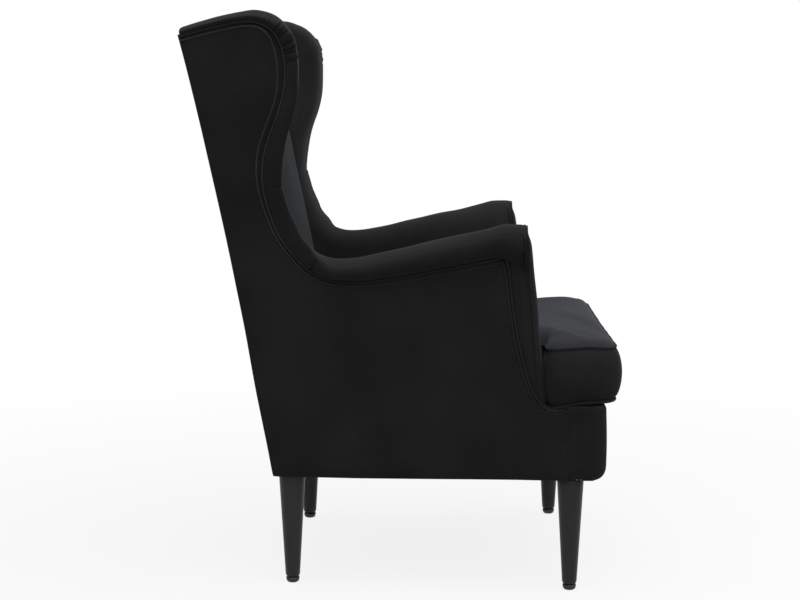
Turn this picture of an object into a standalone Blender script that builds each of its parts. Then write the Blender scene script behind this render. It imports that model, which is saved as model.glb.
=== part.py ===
"""Velvet wing armchair with a loose T-shaped seat cushion.

Metres, +Z up. The chair faces -Y, so its right side, as the sitter has it, is -X.
The origin is on the floor under the middle of the chair's length and width.
Every side piece is drawn once on the outside of one arm and wing, as a region in Y and Z
with a depth measured inwards from that outside surface, and built for both sides.
"""
import math

import bmesh
import bpy
import numpy as np

collection_name = "velvet_armchair"
right, left = -1, 1
side_letters = {right: "R", left: "L"}

# Overall sizes
base_depth = 0.629
base_height = 0.1352
base_rear_half_width = 0.297
base_front_half_width = 0.3515
leg_height = 0.2168
back_corner_height = 1.0377
back_lean = 0.161
back_flare = 0.0064
back_flare_height = 0.19

# The flare of the wings, beyond the straight sides of the base
wing_flare_rear = 0.045
wing_flare_front = 0.027
wing_flare_start_drop = 0.013
wing_flare_rise = 0.35
wing_flare_depth = 0.2

# The seam round each outside panel
base_seam_setback = 0.0725
arm_seam_setback = 0.1946
arm_seam_dip_height = 0.5785
arm_seam_front_rise = 0.0545
wing_root_setback = 0.5448
wing_root_rise = 0.0088
wing_front_setback = 0.5952
wing_seam_peak_rise = 0.0366

# The rolls that stand out past the seam
arm_roll_front_rise = 0.067
arm_roll_rear_rise = 0.052
wing_roll_waist_rise = 0.036
wing_roll_front_rise = 0.025
wing_roll_top_rise = 0.0205
arm_roll_bulge = 0.019
wing_roll_bulge = 0.012
back_top_drop = 0.008

# Upholstery and frame thicknesses, from the outside of a side inwards
skin = 0.006
board = 0.018
post_width = 0.028
post_depth = 0.045
side_thickness = 0.062
rail_thickness = 0.018
top_rail_height = 0.045
top_rail_drop = 0.0177
lower_back_rail_height = 0.050
lower_back_rail_rise = 0.060
rail_rise = 0.0017
arm_rail_height = 0.040
arm_post_depth = 0.042
strap_width = 0.050
strap_thickness = 0.0015
strap_height_shares = (0.467, 0.735)

# The facing on the front of each arm
facing_setback = 0.1505
facing_lean = 0.0245
facing_thickness = 0.0135
facing_edge = 0.0050
facing_overlap = 0.0045

# The inside back
back_face_setback = 0.628
back_face_height = 0.855
back_face_slope_run = 0.0533
back_face_slope_rise = 0.25
back_crown = 0.014
back_crown_power = 2.5
back_top_radius = 0.030

# The seat
deck_front_height = 0.358
deck_drop = 0.0379
deck_drop_length = 0.505
deck_thickness = 0.005
deck_length = 0.5565
seat_side_clearance = 0.0045
cushion_height = 0.104
cushion_crown = 0.036
cushion_belly = 0.0035
cushion_side_bulge = 0.009
cushion_ear_width = 0.338
cushion_ear_setback = 0.1080
cushion_crown_setback = 0.0972
cushion_front_reach = 0.017
cushion_rear_setback = 0.500
cushion_corner_radius = 0.030
cushion_pull_in = 0.004
cover_thickness = 0.0018
core_inset = 0.0036
zip_length = 0.280
cushion_welt_radius = 0.0032

# The seat springs
spring_wire = 0.0036
spring_count = 4
spring_pitch = 0.062
spring_half_width = 0.022
spring_end_length = 0.012
spring_row_margin = 0.085

# The apron
apron_thickness = 0.026
apron_corner_radius = 0.022
apron_edge_radius = 0.010

# Double welt beside the panel seam
welt_width = 0.0090
welt_height = 0.0030
welt_inset = 0.0056

# Legs
leg_top_radius = 0.0249
leg_tip_radius = 0.0134
leg_side_inset = 0.034
front_leg_setback = 0.065
rear_leg_inset = 0.032
glide_height = 0.010
glide_radius = 0.0128
glide_flat_radius = 0.0075
bolt_radius = 0.004
bolt_head_radius = 0.0060
bolt_head_height = 0.005
bolt_hole_depth = 0.040
bolt_clearance = 0.0004
block_width = 0.055
block_height = 0.050
dust_cover_thickness = 0.001

# Fits
gap = 0.0003
soft_gap = 0.0008
cut_overrun = 0.010

# Counts
round_sides = 24
wire_bevel_resolution = 1
seat_columns = 9
deck_rows = 6
straight_rows = 4
flared_rows = 14
board_rows = 4

# Heights and depths that follow from the sizes above
base_top_height = leg_height + base_height
cushion_overhang = cushion_front_reach + cushion_side_bulge
overall_depth = cushion_overhang + base_depth + back_lean + back_flare
apron_face_y = cushion_overhang - overall_depth / 2
base_rear_y = apron_face_y + base_depth
back_rise = back_corner_height - leg_height
arm_seam_front_height = arm_seam_dip_height + arm_seam_front_rise
wing_root_height = arm_seam_dip_height + wing_root_rise
wing_flare_start_height = arm_seam_front_height - wing_flare_start_drop
wing_seam_peak_height = back_corner_height + wing_seam_peak_rise


def mix(start, end, share):
    """The value at a share of the way from start to end."""
    return start + (end - start) * share


def back_y(z):
    """The outside of the back: a straight lean, flared a little at the top."""
    lean = back_lean * (z - leg_height) / back_rise
    flare_start = back_corner_height - back_flare_height
    over = np.clip((z - flare_start) / back_flare_height, 0, None)
    return base_rear_y + lean + back_flare * over**2


def half_width(y, z):
    """Half the chair's width at the outside of its sides: straight lines in plan, flared at the wings."""
    toe_share = (base_rear_y - y) / base_depth
    straight = base_rear_half_width + (base_front_half_width - base_rear_half_width) * toe_share
    up_share = np.clip((z - wing_flare_start_height) / wing_flare_rise, 0, 1)
    ease_share = up_share**2 * (3 - 2 * up_share)
    forward_share = np.clip((back_y(z) - y) / wing_flare_depth, 0, 1)
    return straight + ease_share * (wing_flare_rear + wing_flare_front * forward_share)


def deck_z(y):
    """The top of the seat deck, which falls towards the back."""
    return deck_front_height - deck_drop * (y - apron_face_y) / deck_drop_length


def back_face_y(z):
    """The front of the inside back at its sides."""
    slope = back_face_slope_run / back_face_slope_rise
    return apron_face_y + back_face_setback + slope * (z - back_face_height)


def facing_y(z):
    """The plane behind the arm facing: upright beside the roll, leaning forward below it."""
    lean_share = np.clip((arm_seam_front_height - z) / (arm_seam_front_height - base_top_height), 0, 1)
    return apron_face_y + facing_setback - facing_lean * lean_share


# The panel's seam, bottom to top. Each row is the share of the way along in Y, the share of the
# way up in Z, and the share of the rear edge's height that lies opposite.
base_seam_shares = (
    (0.000, 0.000, 0.000), (0.000, 0.615, 0.065), (0.000, 0.948, 0.125), (0.157, 0.964, 0.145),
    (0.333, 0.988, 0.158),
)
post_seam_shares = (
    (0.479, 0.055, 0.176), (0.688, 0.209, 0.206), (0.777, 0.363, 0.236), (0.870, 0.618, 0.278),
    (0.919, 0.799, 0.308), (0.969, 0.962, 0.336),
)
arm_seam_shares = (
    (0.000, 1.000, 0.345), (0.201, 0.743, 0.362), (0.403, 0.450, 0.374), (0.606, 0.156, 0.388),
    (0.816, 0.000, 0.406), (0.958, 0.094, 0.424),
)
wing_seam_shares = (
    (-0.256, 0.018, 0.451), (-0.153, 0.048, 0.470), (-0.049, 0.098, 0.500), (0.042, 0.163, 0.540),
    (0.123, 0.213, 0.571), (0.202, 0.266, 0.601), (0.249, 0.350, 0.650), (0.247, 0.422, 0.698),
    (0.229, 0.517, 0.753), (0.185, 0.578, 0.790), (0.119, 0.630, 0.820), (0.055, 0.679, 0.850),
    (0.011, 0.736, 0.881), (0.000, 0.798, 0.912), (0.003, 0.854, 0.937), (0.027, 0.901, 0.954),
    (0.108, 0.944, 0.966), (0.199, 0.980, 0.975), (0.291, 1.000, 0.981), (0.374, 0.998, 0.986),
    (0.660, 0.967, 0.992), (0.970, 0.930, 0.999),
)


def seam_lines():
    """The panel's front and top seam, and the rear edge opposite each of its points, as rows of Y and Z."""
    base_seam_y = apron_face_y + base_seam_setback
    arm_seam_y = apron_face_y + arm_seam_setback
    root_y = apron_face_y + wing_root_setback
    front_y = apron_face_y + wing_front_setback
    corner_y = back_y(back_corner_height) - skin - gap
    spans = (
        (base_seam_shares, base_seam_y, arm_seam_y, leg_height, base_top_height),
        (post_seam_shares, base_seam_y, arm_seam_y, base_top_height, arm_seam_front_height),
        (arm_seam_shares, arm_seam_y, root_y, arm_seam_dip_height, arm_seam_front_height),
        (wing_seam_shares, front_y, corner_y, arm_seam_dip_height, wing_seam_peak_height),
    )
    seam, rear = [], []
    for shares, y_start, y_end, z_low, z_high in spans:
        for y_share, z_share, rear_share in shares:
            seam.append((mix(y_start, y_end, y_share), mix(z_low, z_high, z_share)))
            z = mix(leg_height, back_corner_height, rear_share)
            rear.append((back_y(z) - skin - gap, z))
    return np.array(seam), np.array(rear)


seam_line, rear_line = seam_lines()
front_pad_first = len(base_seam_shares)
arm_first = front_pad_first + len(post_seam_shares)
wing_first = arm_first + len(arm_seam_shares)
welt_free_row_count = 2


def line_normals(line):
    """Unit normals of a line in Y and Z, on the side away from the panel."""
    along = np.gradient(line, axis=0)
    normals = np.stack((-along[:, 1], along[:, 0]), axis=1)
    return normals / np.linalg.norm(normals, axis=1, keepdims=True)


def on_side(side, y, z, depth):
    """Points at a depth inwards from the outside of one side."""
    return np.stack((side * (half_width(y, z) - depth), y, z), axis=-1)


def material(name, colour, roughness, metallic=0.0):
    """A plain Principled finish."""
    made = bpy.data.materials.get(name)
    if made is None:
        made = bpy.data.materials.new(name)
        made.use_nodes = True
        shader = made.node_tree.nodes["Principled BSDF"]
        shader.inputs["Base Color"].default_value = (*colour, 1.0)
        shader.inputs["Roughness"].default_value = roughness
        shader.inputs["Metallic"].default_value = metallic
    return made


def velvet():
    return material("black_velvet", (0.012, 0.012, 0.013), 0.85)


def lacquer():
    return material("dark_lacquer", (0.028, 0.028, 0.030), 0.35)


def nylon():
    return material("glide_nylon", (0.010, 0.010, 0.011), 0.5)


def wood():
    return material("frame_wood", (0.52, 0.36, 0.20), 0.7)


def steel():
    return material("spring_steel", (0.45, 0.45, 0.46), 0.4, 1.0)


def foam():
    return material("seat_foam", (0.75, 0.70, 0.52), 0.95)


def cloth():
    return material("lining_cloth", (0.03, 0.03, 0.03), 0.95)


def webbing():
    return material("jute_webbing", (0.42, 0.31, 0.18), 0.9)


def new_collection(name):
    made = bpy.data.collections.new(name)
    bpy.context.scene.collection.children.link(made)
    return made


def add_mesh(name, points, faces, finish, smooth=False):
    """One mesh object in the parts' collection, with its faces pointing out."""
    mesh = bpy.data.meshes.new(name)
    mesh.from_pydata([tuple(p) for p in points], [], faces)
    shape = bmesh.new()
    shape.from_mesh(mesh)
    bmesh.ops.recalc_face_normals(shape, faces=shape.faces)
    shape.to_mesh(mesh)
    shape.free()
    if smooth:
        mesh.shade_smooth()
        mesh.set_sharp_from_angle(angle=math.radians(40))
    mesh.materials.append(finish)
    made = bpy.data.objects.new(name, mesh)
    bpy.data.collections[collection_name].objects.link(made)
    return made


def loft(name, rings, finish, closed=False, smooth=True):
    """A solid through rings of equally many points, capped at its ends unless it closes on itself."""
    rings = np.asarray(rings)
    count, around = rings.shape[:2]
    faces = []
    for k in range(count if closed else count - 1):
        here, after = k * around, (k + 1) % count * around
        for j in range(around):
            beside = (j + 1) % around
            faces.append((here + j, here + beside, after + beside, after + j))
    if not closed:
        faces.append(tuple(range(around))[::-1])
        faces.append(tuple((count - 1) * around + j for j in range(around)))
    return add_mesh(name, rings.reshape(-1, 3), faces, finish, smooth)


def plate(name, outer, inner, finish, smooth=False):
    """A solid between two grids of equally many points."""
    outer, inner = np.asarray(outer), np.asarray(inner)
    rows, columns = outer.shape[:2]
    half = rows * columns
    faces = []
    for base, turned in ((0, False), (half, True)):
        for r in range(rows - 1):
            for c in range(columns - 1):
                at = base + r * columns + c
                face = (at, at + 1, at + columns + 1, at + columns)
                faces.append(face[::-1] if turned else face)
    rim = [c for c in range(columns)]
    rim += [r * columns + columns - 1 for r in range(1, rows)]
    rim += [(rows - 1) * columns + c for c in range(columns - 2, -1, -1)]
    rim += [r * columns for r in range(rows - 2, 0, -1)]
    for at, after in zip(rim, rim[1:] + rim[:1]):
        faces.append((after, at, half + at, half + after))
    points = np.concatenate((outer.reshape(-1, 3), inner.reshape(-1, 3)))
    return add_mesh(name, points, faces, finish, smooth)


def side_board(stem, side, front_line, rear_line_of_it, near, far, finish, shares=(0, 1)):
    """A board that follows the outside of one side, between two lines and two depths inwards."""
    shares = np.broadcast_to(shares, (len(front_line), np.shape(shares)[-1]))[..., None]
    field = front_line[:, None, :] + (rear_line_of_it - front_line)[:, None, :] * shares
    y, z = field[..., 0], field[..., 1]
    name = f"{stem}_{side_letters[side]}"
    return plate(name, on_side(side, y, z, near), on_side(side, y, z, far), finish)


def move_to(made, name):
    for holder in list(made.users_collection):
        holder.objects.unlink(made)
    bpy.data.collections[name].objects.link(made)


def cut_hole(piece, name, x, y, low, high, radius):
    """A round hole along Z."""
    bpy.ops.mesh.primitive_cylinder_add(vertices=round_sides // 2, radius=radius, depth=high - low)
    cutter = bpy.context.object
    cutter.name = name
    cutter.location = (x, y, (low + high) / 2)
    cutter.hide_render = True
    cutter.display_type = "WIRE"
    move_to(cutter, "cutters")
    hole = piece.modifiers.new(name, "BOOLEAN")
    hole.operation = "DIFFERENCE"
    hole.object = cutter


def turned(name, profile, x, y, finish):
    """A turned solid from (radius, height) pairs that run down its outer side, closed on its axis."""
    mesh = bpy.data.meshes.new(name)
    mesh.from_pydata([(r, 0, z) for r, z in profile], [(i, i + 1) for i in range(len(profile) - 1)], [])
    made = bpy.data.objects.new(name, mesh)
    made.location = (x, y, 0)
    screw = made.modifiers.new("turn", "SCREW")
    screw.steps = screw.render_steps = round_sides
    screw.use_merge_vertices = True
    screw.merge_threshold = 0.00001
    screw.use_smooth_shade = True
    mesh.materials.append(finish)
    bpy.data.collections[collection_name].objects.link(made)
    return made


def leg_places():
    """The name and axis of each leg."""
    front_y = apron_face_y + front_leg_setback
    rear_y = base_rear_y - rear_leg_inset
    for side in (right, left):
        for end, y in (("front", front_y), ("rear", rear_y)):
            x = side * (half_width(y, leg_height) - leg_side_inset)
            yield f"{end}_{side_letters[side]}", x, y


# The rounded side of a glide: the share of the way out from its flat, and the share of its height
glide_shares = ((1.0, 1.0), (1.0, 0.55), (0.75, 0.18))


def make_legs():
    """Turned legs with their glides, studs and corner blocks."""
    for place, x, y in leg_places():
        top = leg_height - gap
        leg = turned(f"leg_{place}", (
            (0, top), (leg_top_radius, top), (leg_tip_radius, glide_height + gap), (0, glide_height + gap),
        ), x, y, lacquer())
        hole_radius = bolt_radius + bolt_clearance
        cut_hole(leg, f"leg_hole_{place}", x, y, top - bolt_hole_depth, top + cut_overrun, hole_radius)
        rounded = [(mix(glide_flat_radius, glide_radius, wide), glide_height * up) for wide, up in glide_shares]
        turned(f"glide_{place}", ((0, glide_height), *rounded, (glide_flat_radius, 0), (0, 0)), x, y, nylon())
        make_corner_block(place, x, y)
        low = top - bolt_hole_depth + gap
        head_low = leg_height + dust_cover_thickness + block_height + gap * 3
        turned(f"leg_bolt_{place}", (
            (0, head_low + bolt_head_height), (bolt_head_radius, head_low + bolt_head_height),
            (bolt_head_radius, head_low), (bolt_radius, head_low), (bolt_radius, low), (0, low),
        ), x, y, steel())


def make_corner_block(place, x, y):
    """A wooden block in the corner of the rails, bored for the leg's stud."""
    side = right if x < 0 else left
    low = leg_height + dust_cover_thickness + gap * 2
    front = y < 0
    fence = front_rail_rear_y() + gap if front else rear_rail_front_y() - gap
    near_y, far_y = (fence, fence + block_width) if front else (fence - block_width, fence)
    ys = np.array([near_y, far_y])
    edge = skin + gap * 2 + board
    rings = []
    for z in (low, low + block_height):
        outside = half_width(ys, z) - edge
        rings.append([
            (side * outside[0], near_y, z), (side * outside[1], far_y, z),
            (side * (outside[1] - block_width), far_y, z), (side * (outside[0] - block_width), near_y, z),
        ])
    block = loft(f"corner_block_{place}", rings, wood(), smooth=False)
    cut_hole(block, f"block_hole_{place}", x, y, low - cut_overrun, low + block_height + cut_overrun,
             bolt_radius + bolt_clearance)


def front_rail_rear_y():
    return apron_face_y + apron_thickness + gap + rail_thickness


def rear_rail_front_y():
    return back_y(leg_height) - skin - gap - rail_thickness


def rail_low():
    return leg_height + rail_rise


def spring_level(y):
    """The height of the spring wire's axis, just under the deck."""
    return deck_z(y) - deck_thickness - gap - spring_wire / 2


def make_rails():
    """The four rails of the base."""
    low = rail_low()
    edge = skin + gap + board + gap
    front_y = apron_face_y + apron_thickness + gap
    top = spring_level(front_y + rail_thickness) - spring_wire / 2 - gap
    rings = []
    for y in (front_y, front_y + rail_thickness):
        x = half_width(y, low) - skin - gap
        rings.append([(-x, y, low), (x, y, low), (x, y, top), (-x, y, top)])
    loft("front_rail", rings, wood(), smooth=False)

    rear_y = rear_rail_front_y()
    top = spring_level(rear_y + rail_thickness) - spring_wire / 2 - gap
    rings = []
    for y in (rear_y, rear_y + rail_thickness):
        x = half_width(y, low) - edge
        rings.append([(-x, y, low), (x, y, low), (x, y, top), (-x, y, top)])
    loft("rear_rail", rings, wood(), smooth=False)

    ends = np.array([front_rail_rear_y() + gap, rear_y + rail_thickness])
    bottom_line = np.stack((ends, np.full(2, low)), axis=1)
    top_line = np.stack((ends, deck_z(ends)), axis=1)
    for side in (right, left):
        side_board("side_rail", side, bottom_line, top_line, skin + gap, skin + gap + board, wood())


def make_springs():
    """Sinuous springs from the front rail to the rear rail, each one a wire in long bends."""
    start = apron_face_y + apron_thickness + gap + spring_end_length / 2
    end = rear_rail_front_y() + rail_thickness - spring_end_length / 2
    bends = 2 * round((end - start - 2 * spring_end_length) / spring_pitch)
    reach = half_width(end, leg_height) - spring_row_margin
    bend_shares = ((0.0, 0.5), (0.3, 1.0), (0.7, 1.0), (1.0, 0.5))
    for number, row in enumerate(np.linspace(-reach, reach, spring_count), 1):
        first, last = start + spring_end_length, end - spring_end_length
        path = [(row, start)]
        for bend in range(bends):
            sign = 1 if bend % 2 else -1
            for along, out in bend_shares[:-1]:
                y = mix(first, last, (bend + along) / bends)
                path.append((row + sign * spring_half_width * (2 * out - 1), y))
        path += [(row, last), (row, end)]
        wire = bpy.data.curves.new(f"seat_spring_{number}", "CURVE")
        wire.dimensions = "3D"
        wire.bevel_depth = spring_wire / 2
        wire.bevel_resolution = wire_bevel_resolution
        wire.use_fill_caps = True
        spline = wire.splines.new("POLY")
        spline.points.add(len(path) - 1)
        for point, (x, y) in zip(spline.points, path):
            point.co = (x, y, spring_level(y), 1)
        wire.materials.append(steel())
        made = bpy.data.objects.new(f"seat_spring_{number}", wire)
        bpy.data.collections[collection_name].objects.link(made)


def make_back_frame():
    """Back posts, the two cross rails between them and the webbing on their front."""
    top = back_corner_height - top_rail_drop
    foot_y = base_rear_y - post_depth
    foot_levels = np.linspace(deck_z(foot_y) + gap, wing_root_height, board_rows)
    foot_rear = np.stack((back_y(foot_levels) - skin - gap, foot_levels), axis=1)
    foot_front = foot_rear - (post_depth, 0)
    seam, rear = seam_line[wing_first + 1:], rear_line[wing_first + 1:]
    front = seam + (rear - seam) * post_shares(0)[1:, None]
    for side in (right, left):
        near = skin + gap
        side_board("back_post", side, np.concatenate((foot_front, front)),
                   np.concatenate((foot_rear, rear)), near, near + post_width, wood())
    edge = skin + gap + post_width + gap
    low_rail = base_top_height + lower_back_rail_rise
    spans = (
        ("top_rail", top - top_rail_height, top),
        ("lower_back_rail", low_rail, low_rail + lower_back_rail_height),
    )
    for name, low, high in spans:
        levels = np.linspace(low, high, board_rows)
        rear = back_y(levels) - skin - gap
        outer, inner = [], []
        for z, y in zip(levels, rear):
            wide = half_width(y, z) - edge - soft_gap
            outer.append([(-wide, y, z), (wide, y, z)])
            inner.append([(-wide, y - rail_thickness, z), (wide, y - rail_thickness, z)])
        plate(name, outer, inner, wood())
    for number, share in enumerate(strap_height_shares, 1):
        middle = mix(leg_height, back_corner_height, share)
        levels = np.linspace(middle - strap_width / 2, middle + strap_width / 2, board_rows)
        front = strap_y(levels) + gap
        outer, inner = [], []
        for z, y in zip(levels, front):
            wide = half_width(y, z) - skin - board - gap * 3
            outer.append([(-wide, y, z), (wide, y, z)])
            inner.append([(-wide, y + strap_thickness, z), (wide, y + strap_thickness, z)])
        plate(f"back_strap_{number}", outer, inner, webbing())


def strap_y(z):
    """The front of the webbing across the back posts."""
    return back_y(z) - skin - gap - post_depth - gap - strap_thickness - gap


# The least of each row that is left for the wing's board, and for its pad, in front of the post
least_board_share = 0.12
least_pad_share = 0.012


def post_shares(clearance):
    """How far along each of the wing's rows, from its seam to the rear, the post's front lies."""
    reach = rear_line[wing_first:, 0] - seam_line[wing_first:, 0]
    front_shares = np.clip(1 - post_depth / reach, least_board_share, None)
    return np.clip(front_shares - clearance / reach, least_pad_share, None)


def inset_line(line, inset):
    """A line moved towards the panel."""
    return line - line_normals(line) * inset


def wing_top_index():
    """The station where the wing's seam turns from its front to its top."""
    return int(np.argmax([z_share for _, z_share, _ in wing_seam_shares]))


def make_wings():
    """Each wing's board, inner pad and rolled edge."""
    edge, rear = inset_line(seam_line[wing_first:], gap)[:-1], rear_line[wing_first:-1]
    columns = np.array((0, 0.5, 1))
    board_shares = post_shares(gap)[:-1, None] * columns
    pad_shares = post_shares(gap * 2 + strap_thickness + soft_gap)[:-1, None] * columns
    near = skin + gap
    for side in (right, left):
        side_board("wing_frame", side, edge, rear, near, near + board, wood(), board_shares)
        side_board("wing_pad", side, edge, rear, near + board + gap, side_thickness, velvet(), pad_shares)
        make_roll("wing_roll", side, *wing_roll_stations(), wing_roll_bulge)


# The section of a roll: the share of its rise past the seam, then how far it stands out from
# the side as a share of its bulge, or in from the side as a share of the side's thickness.
roll_out_shares = ((0.0, 0.0), (0.16, 0.75), (0.42, 1.0), (0.70, 0.72))
roll_in_shares = ((0.91, 0.10), (1.0, 0.34), (0.96, 0.60), (0.78, 0.83), (0.42, 0.97), (0.0, 1.0))


def make_roll(stem, side, line, normals, rises, bulge):
    """A padded roll along a seam, its flat foot on the edges of the panel, the board and the pad."""
    outward = [(share, -out * bulge) for share, out in roll_out_shares]
    inward = [(share, deep * side_thickness) for share, deep in roll_in_shares]
    rise_shares, depths = np.array(outward + inward).T
    rings = []
    for (y, z), (ny, nz), rise in zip(line, normals, rises):
        rings.append(on_side(side, y + ny * rise_shares * rise, z + nz * rise_shares * rise, depths))
    return loft(f"{stem}_{side_letters[side]}", rings, velvet())


# The run of the crease between the arm's roll and the wing's roll, along Y and along Z
crease_direction_shares = (-0.20, 0.98)


def crease():
    """Where the arm's roll meets the wing's roll: its foot on the seam, and its direction."""
    foot = seam_line[wing_first]
    direction = np.array(crease_direction_shares)
    return foot, direction / np.linalg.norm(direction)


def wing_roll_stations():
    """The stations of a wing's roll, from the crease at the arm to the rear corner."""
    line = seam_line[wing_first:].copy()
    normals = line_normals(line)
    foot, direction = crease()
    normals[0] = direction
    normals[1] = direction + normals[1]
    normals[1] /= np.linalg.norm(normals[1])
    line[0] = foot + (soft_gap / 2, 0)
    line += normals * gap
    depth_shares = np.array([y_share for y_share, _, _ in wing_seam_shares])
    top = wing_top_index()
    waist = int(np.argmax(depth_shares[:top]))
    front = waist + int(np.argmin(depth_shares[waist:top]))
    rises = np.interp(np.arange(len(line)), (0, waist, front, top), (
        arm_roll_rear_rise, wing_roll_waist_rise, wing_roll_front_rise, wing_roll_top_rise,
    ))
    return line, normals, rises


def arm_roll_stations():
    """The stations of an arm's roll, from the facing back to the crease."""
    front_y = facing_y(arm_seam_front_height) + gap
    front = np.array([(front_y, arm_seam_front_height)])
    foot, direction = crease()
    line = np.concatenate((front, seam_line[arm_first:wing_first], foot[None] - (soft_gap / 2, 0)))
    normals = line_normals(line)
    normals[0] = normals[1] = (0, 1)
    normals[-1] = direction
    line = line + normals * gap
    share = (line[:, 0] - line[0, 0]) / (line[-1, 0] - line[0, 0])
    return line, normals, mix(arm_roll_front_rise, arm_roll_rear_rise, share)


def make_arms():
    """Each arm's frame, inner pad, rolled top, front pad and facing."""
    near = skin + gap
    arm_seam_y = apron_face_y + arm_seam_setback
    for side in (right, left):
        make_arm_frame(side, near, arm_seam_y)
        make_arm_pad(side, near, arm_seam_y)
        make_roll("arm_roll", side, *arm_roll_stations(), arm_roll_bulge)
        make_arm_front(side)
        make_facing(side)


def make_arm_frame(side, near, arm_seam_y):
    """The arm's board: a rail under the roll with a post under its front end."""
    seam = seam_line[arm_first:wing_first]
    rear_low = seam[-1, 1] - gap - arm_rail_height
    front_y, post_y = arm_seam_y + gap, arm_seam_y + arm_post_depth
    end_y = back_y(rear_low) - skin - gap - post_depth - gap
    gusset_y = post_y + arm_rail_height / 2
    y = np.array([front_y, post_y, gusset_y, *seam[2:, 0], end_y])
    top = np.interp(y, seam[:, 0], seam[:, 1]) - gap
    low = top - arm_rail_height
    low[:2] = deck_z(y[:2]) + gap
    lower, upper = np.stack((y, low), axis=1), np.stack((y, top), axis=1)
    side_board("arm_frame", side, lower, upper, near, near + board, wood())


def make_arm_pad(side, near, arm_seam_y):
    """The padding on the inner side of an arm, from the deck to the roll."""
    upper = seam_line[arm_first:wing_first + 1] - (0, gap)
    upper[0, 0] += gap
    end_z = rear_line[wing_first, 1] - soft_gap
    low_z = deck_z(base_rear_y)
    upper = np.concatenate((upper, [(strap_y(end_z) - soft_gap, end_z)]))
    lower_y = np.minimum(upper[:, 0], strap_y(low_z) - soft_gap)
    lower = np.stack((lower_y, deck_z(lower_y) + soft_gap), axis=1)
    inner = near + board + gap
    side_board("arm_pad", side, lower, upper, inner, side_thickness, velvet(), (0, 0.5, 1))


def make_arm_front(side):
    """The padding round the front of the arm post, from the panel's seam to the facing."""
    seam = seam_line[front_pad_first:arm_first + 1]
    rear = seam + line_normals(seam_line)[front_pad_first:arm_first + 1] * gap
    rear[-1] = seam[-1] - (gap, 0)
    front = np.stack((facing_y(rear[:, 1]) + gap, rear[:, 1]), axis=1)
    side_board("arm_front_pad", side, front, rear, 0, side_thickness, velvet())


# The facing's outline: inwards from the side as a share of the side's thickness, or outwards
# as a share of the roll's bulge, with the share of its height over the base.
facing_lower_out_shares = ((0.0, 0.0), (0.0, 0.35), (0.0, 0.68))
facing_upper_shares = ((0.2, 0.775), (0.8, 0.81), (1.0, 0.87), (0.72, 0.94))
facing_inner_shares = (
    (0.12, 0.985), (0.38, 1.0), (0.65, 0.99), (0.87, 0.955), (0.985, 0.90), (1.0, 0.82),
    (1.0, 0.68), (1.0, 0.35), (1.0, 0.0),
)


def facing_outline(side, inset, forward):
    """One ring of the facing: its outline drawn in by inset, a distance forward of the facing's plane."""
    low = seam_line[front_pad_first, 1] + gap
    high = arm_seam_front_height + arm_roll_front_rise
    flat = [(deep * side_thickness, up) for deep, up in facing_lower_out_shares]
    flat += [(-out * arm_roll_bulge, up) for out, up in facing_upper_shares]
    flat += [(deep * side_thickness, up) for deep, up in facing_inner_shares]
    flat = np.array([(deep, mix(low, high, up)) for deep, up in flat])
    along = np.roll(flat, -1, axis=0) - np.roll(flat, 1, axis=0)
    along /= np.linalg.norm(along, axis=1, keepdims=True)
    flat = flat + np.stack((along[:, 1], -along[:, 0]), axis=1) * inset
    y = facing_y(flat[:, 1]) - forward
    return np.stack((side * (half_width(y, flat[:, 1]) - flat[:, 0]), y, flat[:, 1]), axis=1)


# The facing's rounded edge: how far it draws in as a share of the edge, and its forward share
facing_step_shares = ((0.0, 0.0), (0.0, 0.35), (0.5, 0.75), (2.2, 1.0))


def make_facing(side):
    """The padded facing on the front of the arm and its roll."""
    rings = []
    for inset_share, forward_share in facing_step_shares:
        inset = facing_overlap + facing_edge * inset_share
        rings.append(facing_outline(side, inset, facing_thickness * forward_share))
    loft(f"arm_facing_{side_letters[side]}", rings, velvet())


def panel_shares():
    """The panel's columns: its rows on the wing have the same columns as the wing's board and post."""
    low_rows = np.tile((0, 0.3, 0.6, 1), (wing_first, 1))
    post = post_shares(gap)[:, None]
    wing_rows = np.concatenate((post * (0, 0.5, 1), np.ones_like(post)), axis=1)
    return np.concatenate((low_rows, wing_rows))


def make_outside():
    """The outside panels of both sides and of the back."""
    for side in (right, left):
        side_board("outside_panel", side, seam_line, rear_line, 0, skin, velvet(), panel_shares())
    levels = np.concatenate((
        np.linspace(leg_height, wing_flare_start_height, straight_rows)[:-1],
        np.linspace(wing_flare_start_height, back_corner_height - gap * 2, flared_rows),
    ))
    shares = np.linspace(-1, 1, seat_columns)
    grids = []
    for depth in (0, skin):
        y = (back_y(levels) - depth)[:, None] + 0 * shares[None, :]
        z = levels[:, None] + 0 * shares[None, :]
        x = half_width(back_y(z), z) * shares[None, :]
        grids.append(np.stack((x, y, z), axis=-1))
    plate("outside_back_panel", grids[0], grids[1], velvet())


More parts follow.
